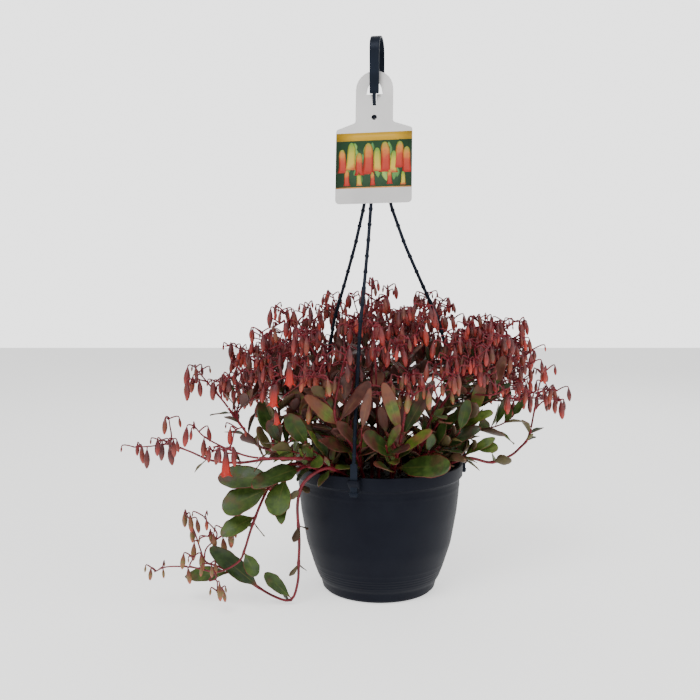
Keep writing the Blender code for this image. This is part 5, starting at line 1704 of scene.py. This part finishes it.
for index, (name, grown) in enumerate(plant.items()):
    rng = np.random.default_rng(MORE_SEED + 200 + index)
    leafy = Piece()
    shares = [root_share(grown["stem"], leaf) for leaf in grown["leaves"]]
    leafy.add(stem_rings(grown["stem"], STEM_RADIUS, shares, STEM_AROUND), 0)
    for branch in grown["branches"]:
        leafy.add(stem_rings(branch["line"], BRANCH_RADII, [], THIN_AROUND), 0)
    for leaf, share in zip(grown["leaves"], shares):
        height = leaf["root"][2] + 0.5 * leaf["length"] * leaf["along"][2]
        older = BROWNER * np.exp(-(((leaf["root"][0] - BROWNER_AT) / BROWNER_SPAN) ** 2)) * (leaf["root"][1] < 0)
        older -= GREENER * np.clip(leaf["root"][0] / GREENER_FROM, 0, 1)
        age = np.clip(0.1 + 0.9 * (height - OLD_FROM) / OLD_SPAN + older + rng.normal() * 0.22, 0, 1)
        add_leaf(leafy, leaf, 1, age, rng)
    leafy.make("Leafy_stem_" + name, [stem_material, leaf_material], "leaf", ["Stem_" + name])
print("leafy stems:", len(plant))

# %% [markdown]
# A bud hangs from a thin stalk that leaves the spray, arches over and comes down. Its body is a spindle, widest past
# the middle, with a blunt tip. The path is one smooth line through the solid bud's own points. An open flower is a
# bell: its mouth spreads in four lobes, and the inside goes back up, so that it is a hollow cup and not a plug.

# %% Bud and bell surfaces
BUD_AROUND = 6
BELL_AROUND = 16
BUD_RUN = np.array([0, 0.14, 0.34, 0.56, 0.78, 0.93, 1.0])
BUD_WIDTH = np.array([0.2, 0.5, 0.86, 1.0, 0.82, 0.48, 0.18])
# A bell's rings: down its outside, round its lip and up inside
BELL_DEPTH = np.array([0, 0.06, 0.2, 0.4, 0.6, 0.78, 0.9, 0.97, 1.0, 0.95, 0.8, 0.6])
BELL_WIDTH = np.array([0.1, 0.34, 0.58, 0.8, 0.92, 1.0, 1.08, 1.3, 1.5, 1.25, 0.8, 0.2])
STALK_POINTS = 5


def bud_paths(lines):
    """Stalk points on an arch from the root over to the hang, then the body's points. Shaped (buds, points, 3)."""
    root, bend, tip = lines[:, 0], lines[:, 1], lines[:, -1]
    hang = tip - bend
    top = bend + 0.18 * np.linalg.norm(bend - root, axis=1)[:, None] * UP
    start = bend + 0.14 * hang
    t = np.linspace(0, 1, STALK_POINTS)[None, :, None]
    arch = (1 - t) ** 2 * root[:, None] + 2 * t * (1 - t) * top[:, None] + t**2 * start[:, None]
    body = start[:, None] + BUD_RUN[None, 1:, None] * (tip - start)[:, None]
    return np.concatenate([arch, body], axis=1)


def add_buds(piece, buds, slots, unripe, rng):
    """Adds closed buds. The width is the solid's, times the spindle's shape, and the body starts after the stalk."""
    lines = np.array([bud["line"] for bud in buds])
    widest = np.array([bud["radii"][2] for bud in buds])[:, None]
    stalk = np.linspace(0.8, 0.65, STALK_POINTS)[None, :] * MM
    body = np.maximum(widest * BUD_WIDTH[None, 1:], 0.4 * MM)
    radii = np.concatenate([np.broadcast_to(stalk, (len(buds), STALK_POINTS)), body], axis=1)
    rings = tube_rings(bud_paths(lines), radii, BUD_AROUND)
    run = np.concatenate([np.zeros(STALK_POINTS), BUD_RUN[1:]])[None, :, None]
    turn = np.linspace(0, 1, BUD_AROUND, endpoint=False)[None, None, :]
    shade = rng.uniform(0, 1, (len(buds), 1, 1))
    run, turn, shade, ripe = np.broadcast_arrays(run, turn, shade, unripe[:, None, None])
    bands = np.where(np.arange(rings.shape[1] - 1) < STALK_POINTS - 1, slots[0], slots[1])
    piece.add(rings, bands, np.stack([run, turn, shade], -1), np.stack([0 * run, ripe, 0 * run], -1))


def bell_rings(line, length):
    """Down the outside of the bell, round its lobed lip and back up the inside. Lobes are a cosine of four turns."""
    across, rise, along = (part[0] for part in path_frames(line[None, 1:]))
    hang, across, rise = along[-1], across[-1], rise[-1]
    start = line[1] + 0.12 * (line[-1] - line[1])
    turns = np.linspace(0, 2 * math.pi, BELL_AROUND, endpoint=False)
    lip, lobe = np.clip((BELL_DEPTH - 0.8) / 0.2, 0, 1)[:, None], np.cos(4 * turns)
    spread = 0.145 * length * (BELL_WIDTH[:, None] + 0.3 * lip * lobe)
    down = 0.88 * length * (BELL_DEPTH[:, None] - 0.04 * (1 - lobe) * lip)
    section = np.cos(turns)[:, None] * across + np.sin(turns)[:, None] * rise
    return (start + down[..., None] * hang + spread[..., None] * section)[None]


def add_bell(piece, bud, slots):
    """Adds an open flower and its stalk."""
    line, length = bud["line"], bud.get("length", BELL_LENGTH)
    stalk = bud_paths(line[None])[:, : STALK_POINTS + 1]
    piece.add(tube_rings(stalk, np.full((1, STALK_POINTS + 1), 0.5 * MM), BUD_AROUND), slots[0])
    rings = bell_rings(line, length)
    run = np.linspace(0.2, 1.6, rings.shape[1])[:, None] + np.zeros(BELL_AROUND)
    turn, zero = np.linspace(0, 1, BELL_AROUND, endpoint=False) + 0 * run, 0 * run
    coral = np.clip((run - 0.45) * 3, 0, 1)
    piece.add(rings, slots[1], np.stack([run, turn, zero], -1)[None], np.stack([zero, zero, coral], -1)[None])


# %% Sprays
FRONT_LOW = 232 * MM
TRAILING_LOW = 110 * MM


def unripe_share(buds, rng):
    """Buds low in the front or on the trailing shoots are unripe, and so are a few others."""
    tips = np.array([bud["line"][-1] for bud in buds])
    low = np.clip((FRONT_LOW - tips[:, 2]) / (25 * MM), 0, 1) * np.clip(-tips[:, 1] / (40 * MM), 0, 1)
    near_middle = np.clip(2 - np.abs(tips[:, 0]) / (60 * MM), 0, 1)
    trailing = np.clip((TRAILING_LOW - tips[:, 2]) / (60 * MM), 0, 0.9)
    return np.clip(np.maximum(low * near_middle, trailing) + rng.normal(size=len(buds)) * 0.14, 0, 1)


for index, (name, grown) in enumerate(plant.items()):
    if not grown["spray"]:
        continue
    rng = np.random.default_rng(MORE_SEED + 300 + index)
    spray, piece = grown["spray"], Piece()
    piece.add(stem_rings(spray["main"], SPRAY_RADIUS, [0.3], THIN_AROUND), 0)
    for fork in spray["forks"]:
        piece.add(stem_rings(fork, FORK_RADII, [], THIN_AROUND), 0)
    bells = [bud for bud in spray["buds"] if bud["radii"][2] < bud["radii"][3]]
    buds = [bud for bud in spray["buds"] if bud["radii"][2] >= bud["radii"][3]]
    add_buds(piece, buds, (0, 1), unripe_share(buds, rng), rng)
    for bell in bells:
        add_bell(piece, bell, (0, 1))
    for bract in spray["bracts"]:
        add_leaf(piece, bract, 2, rng.uniform(0.5, 1), rng)
    piece.make("Flowers_" + name, [stem_material, bud_material, leaf_material], "spray", ["Spray_" + name])
print("sprays:", sum(grown["spray"] is not None for grown in plant.values()))

# %% [markdown]
# The boxes of the solids and of the dressed basket are printed next to each other. The dressed basket has
# to stay as large as its solids.

# %% Sizes and finish
visual_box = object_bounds()
for label, box in (("solids", cad_box), ("dressed", visual_box)):
    print(label, [round(value, 4) for corner in box for value in corner])
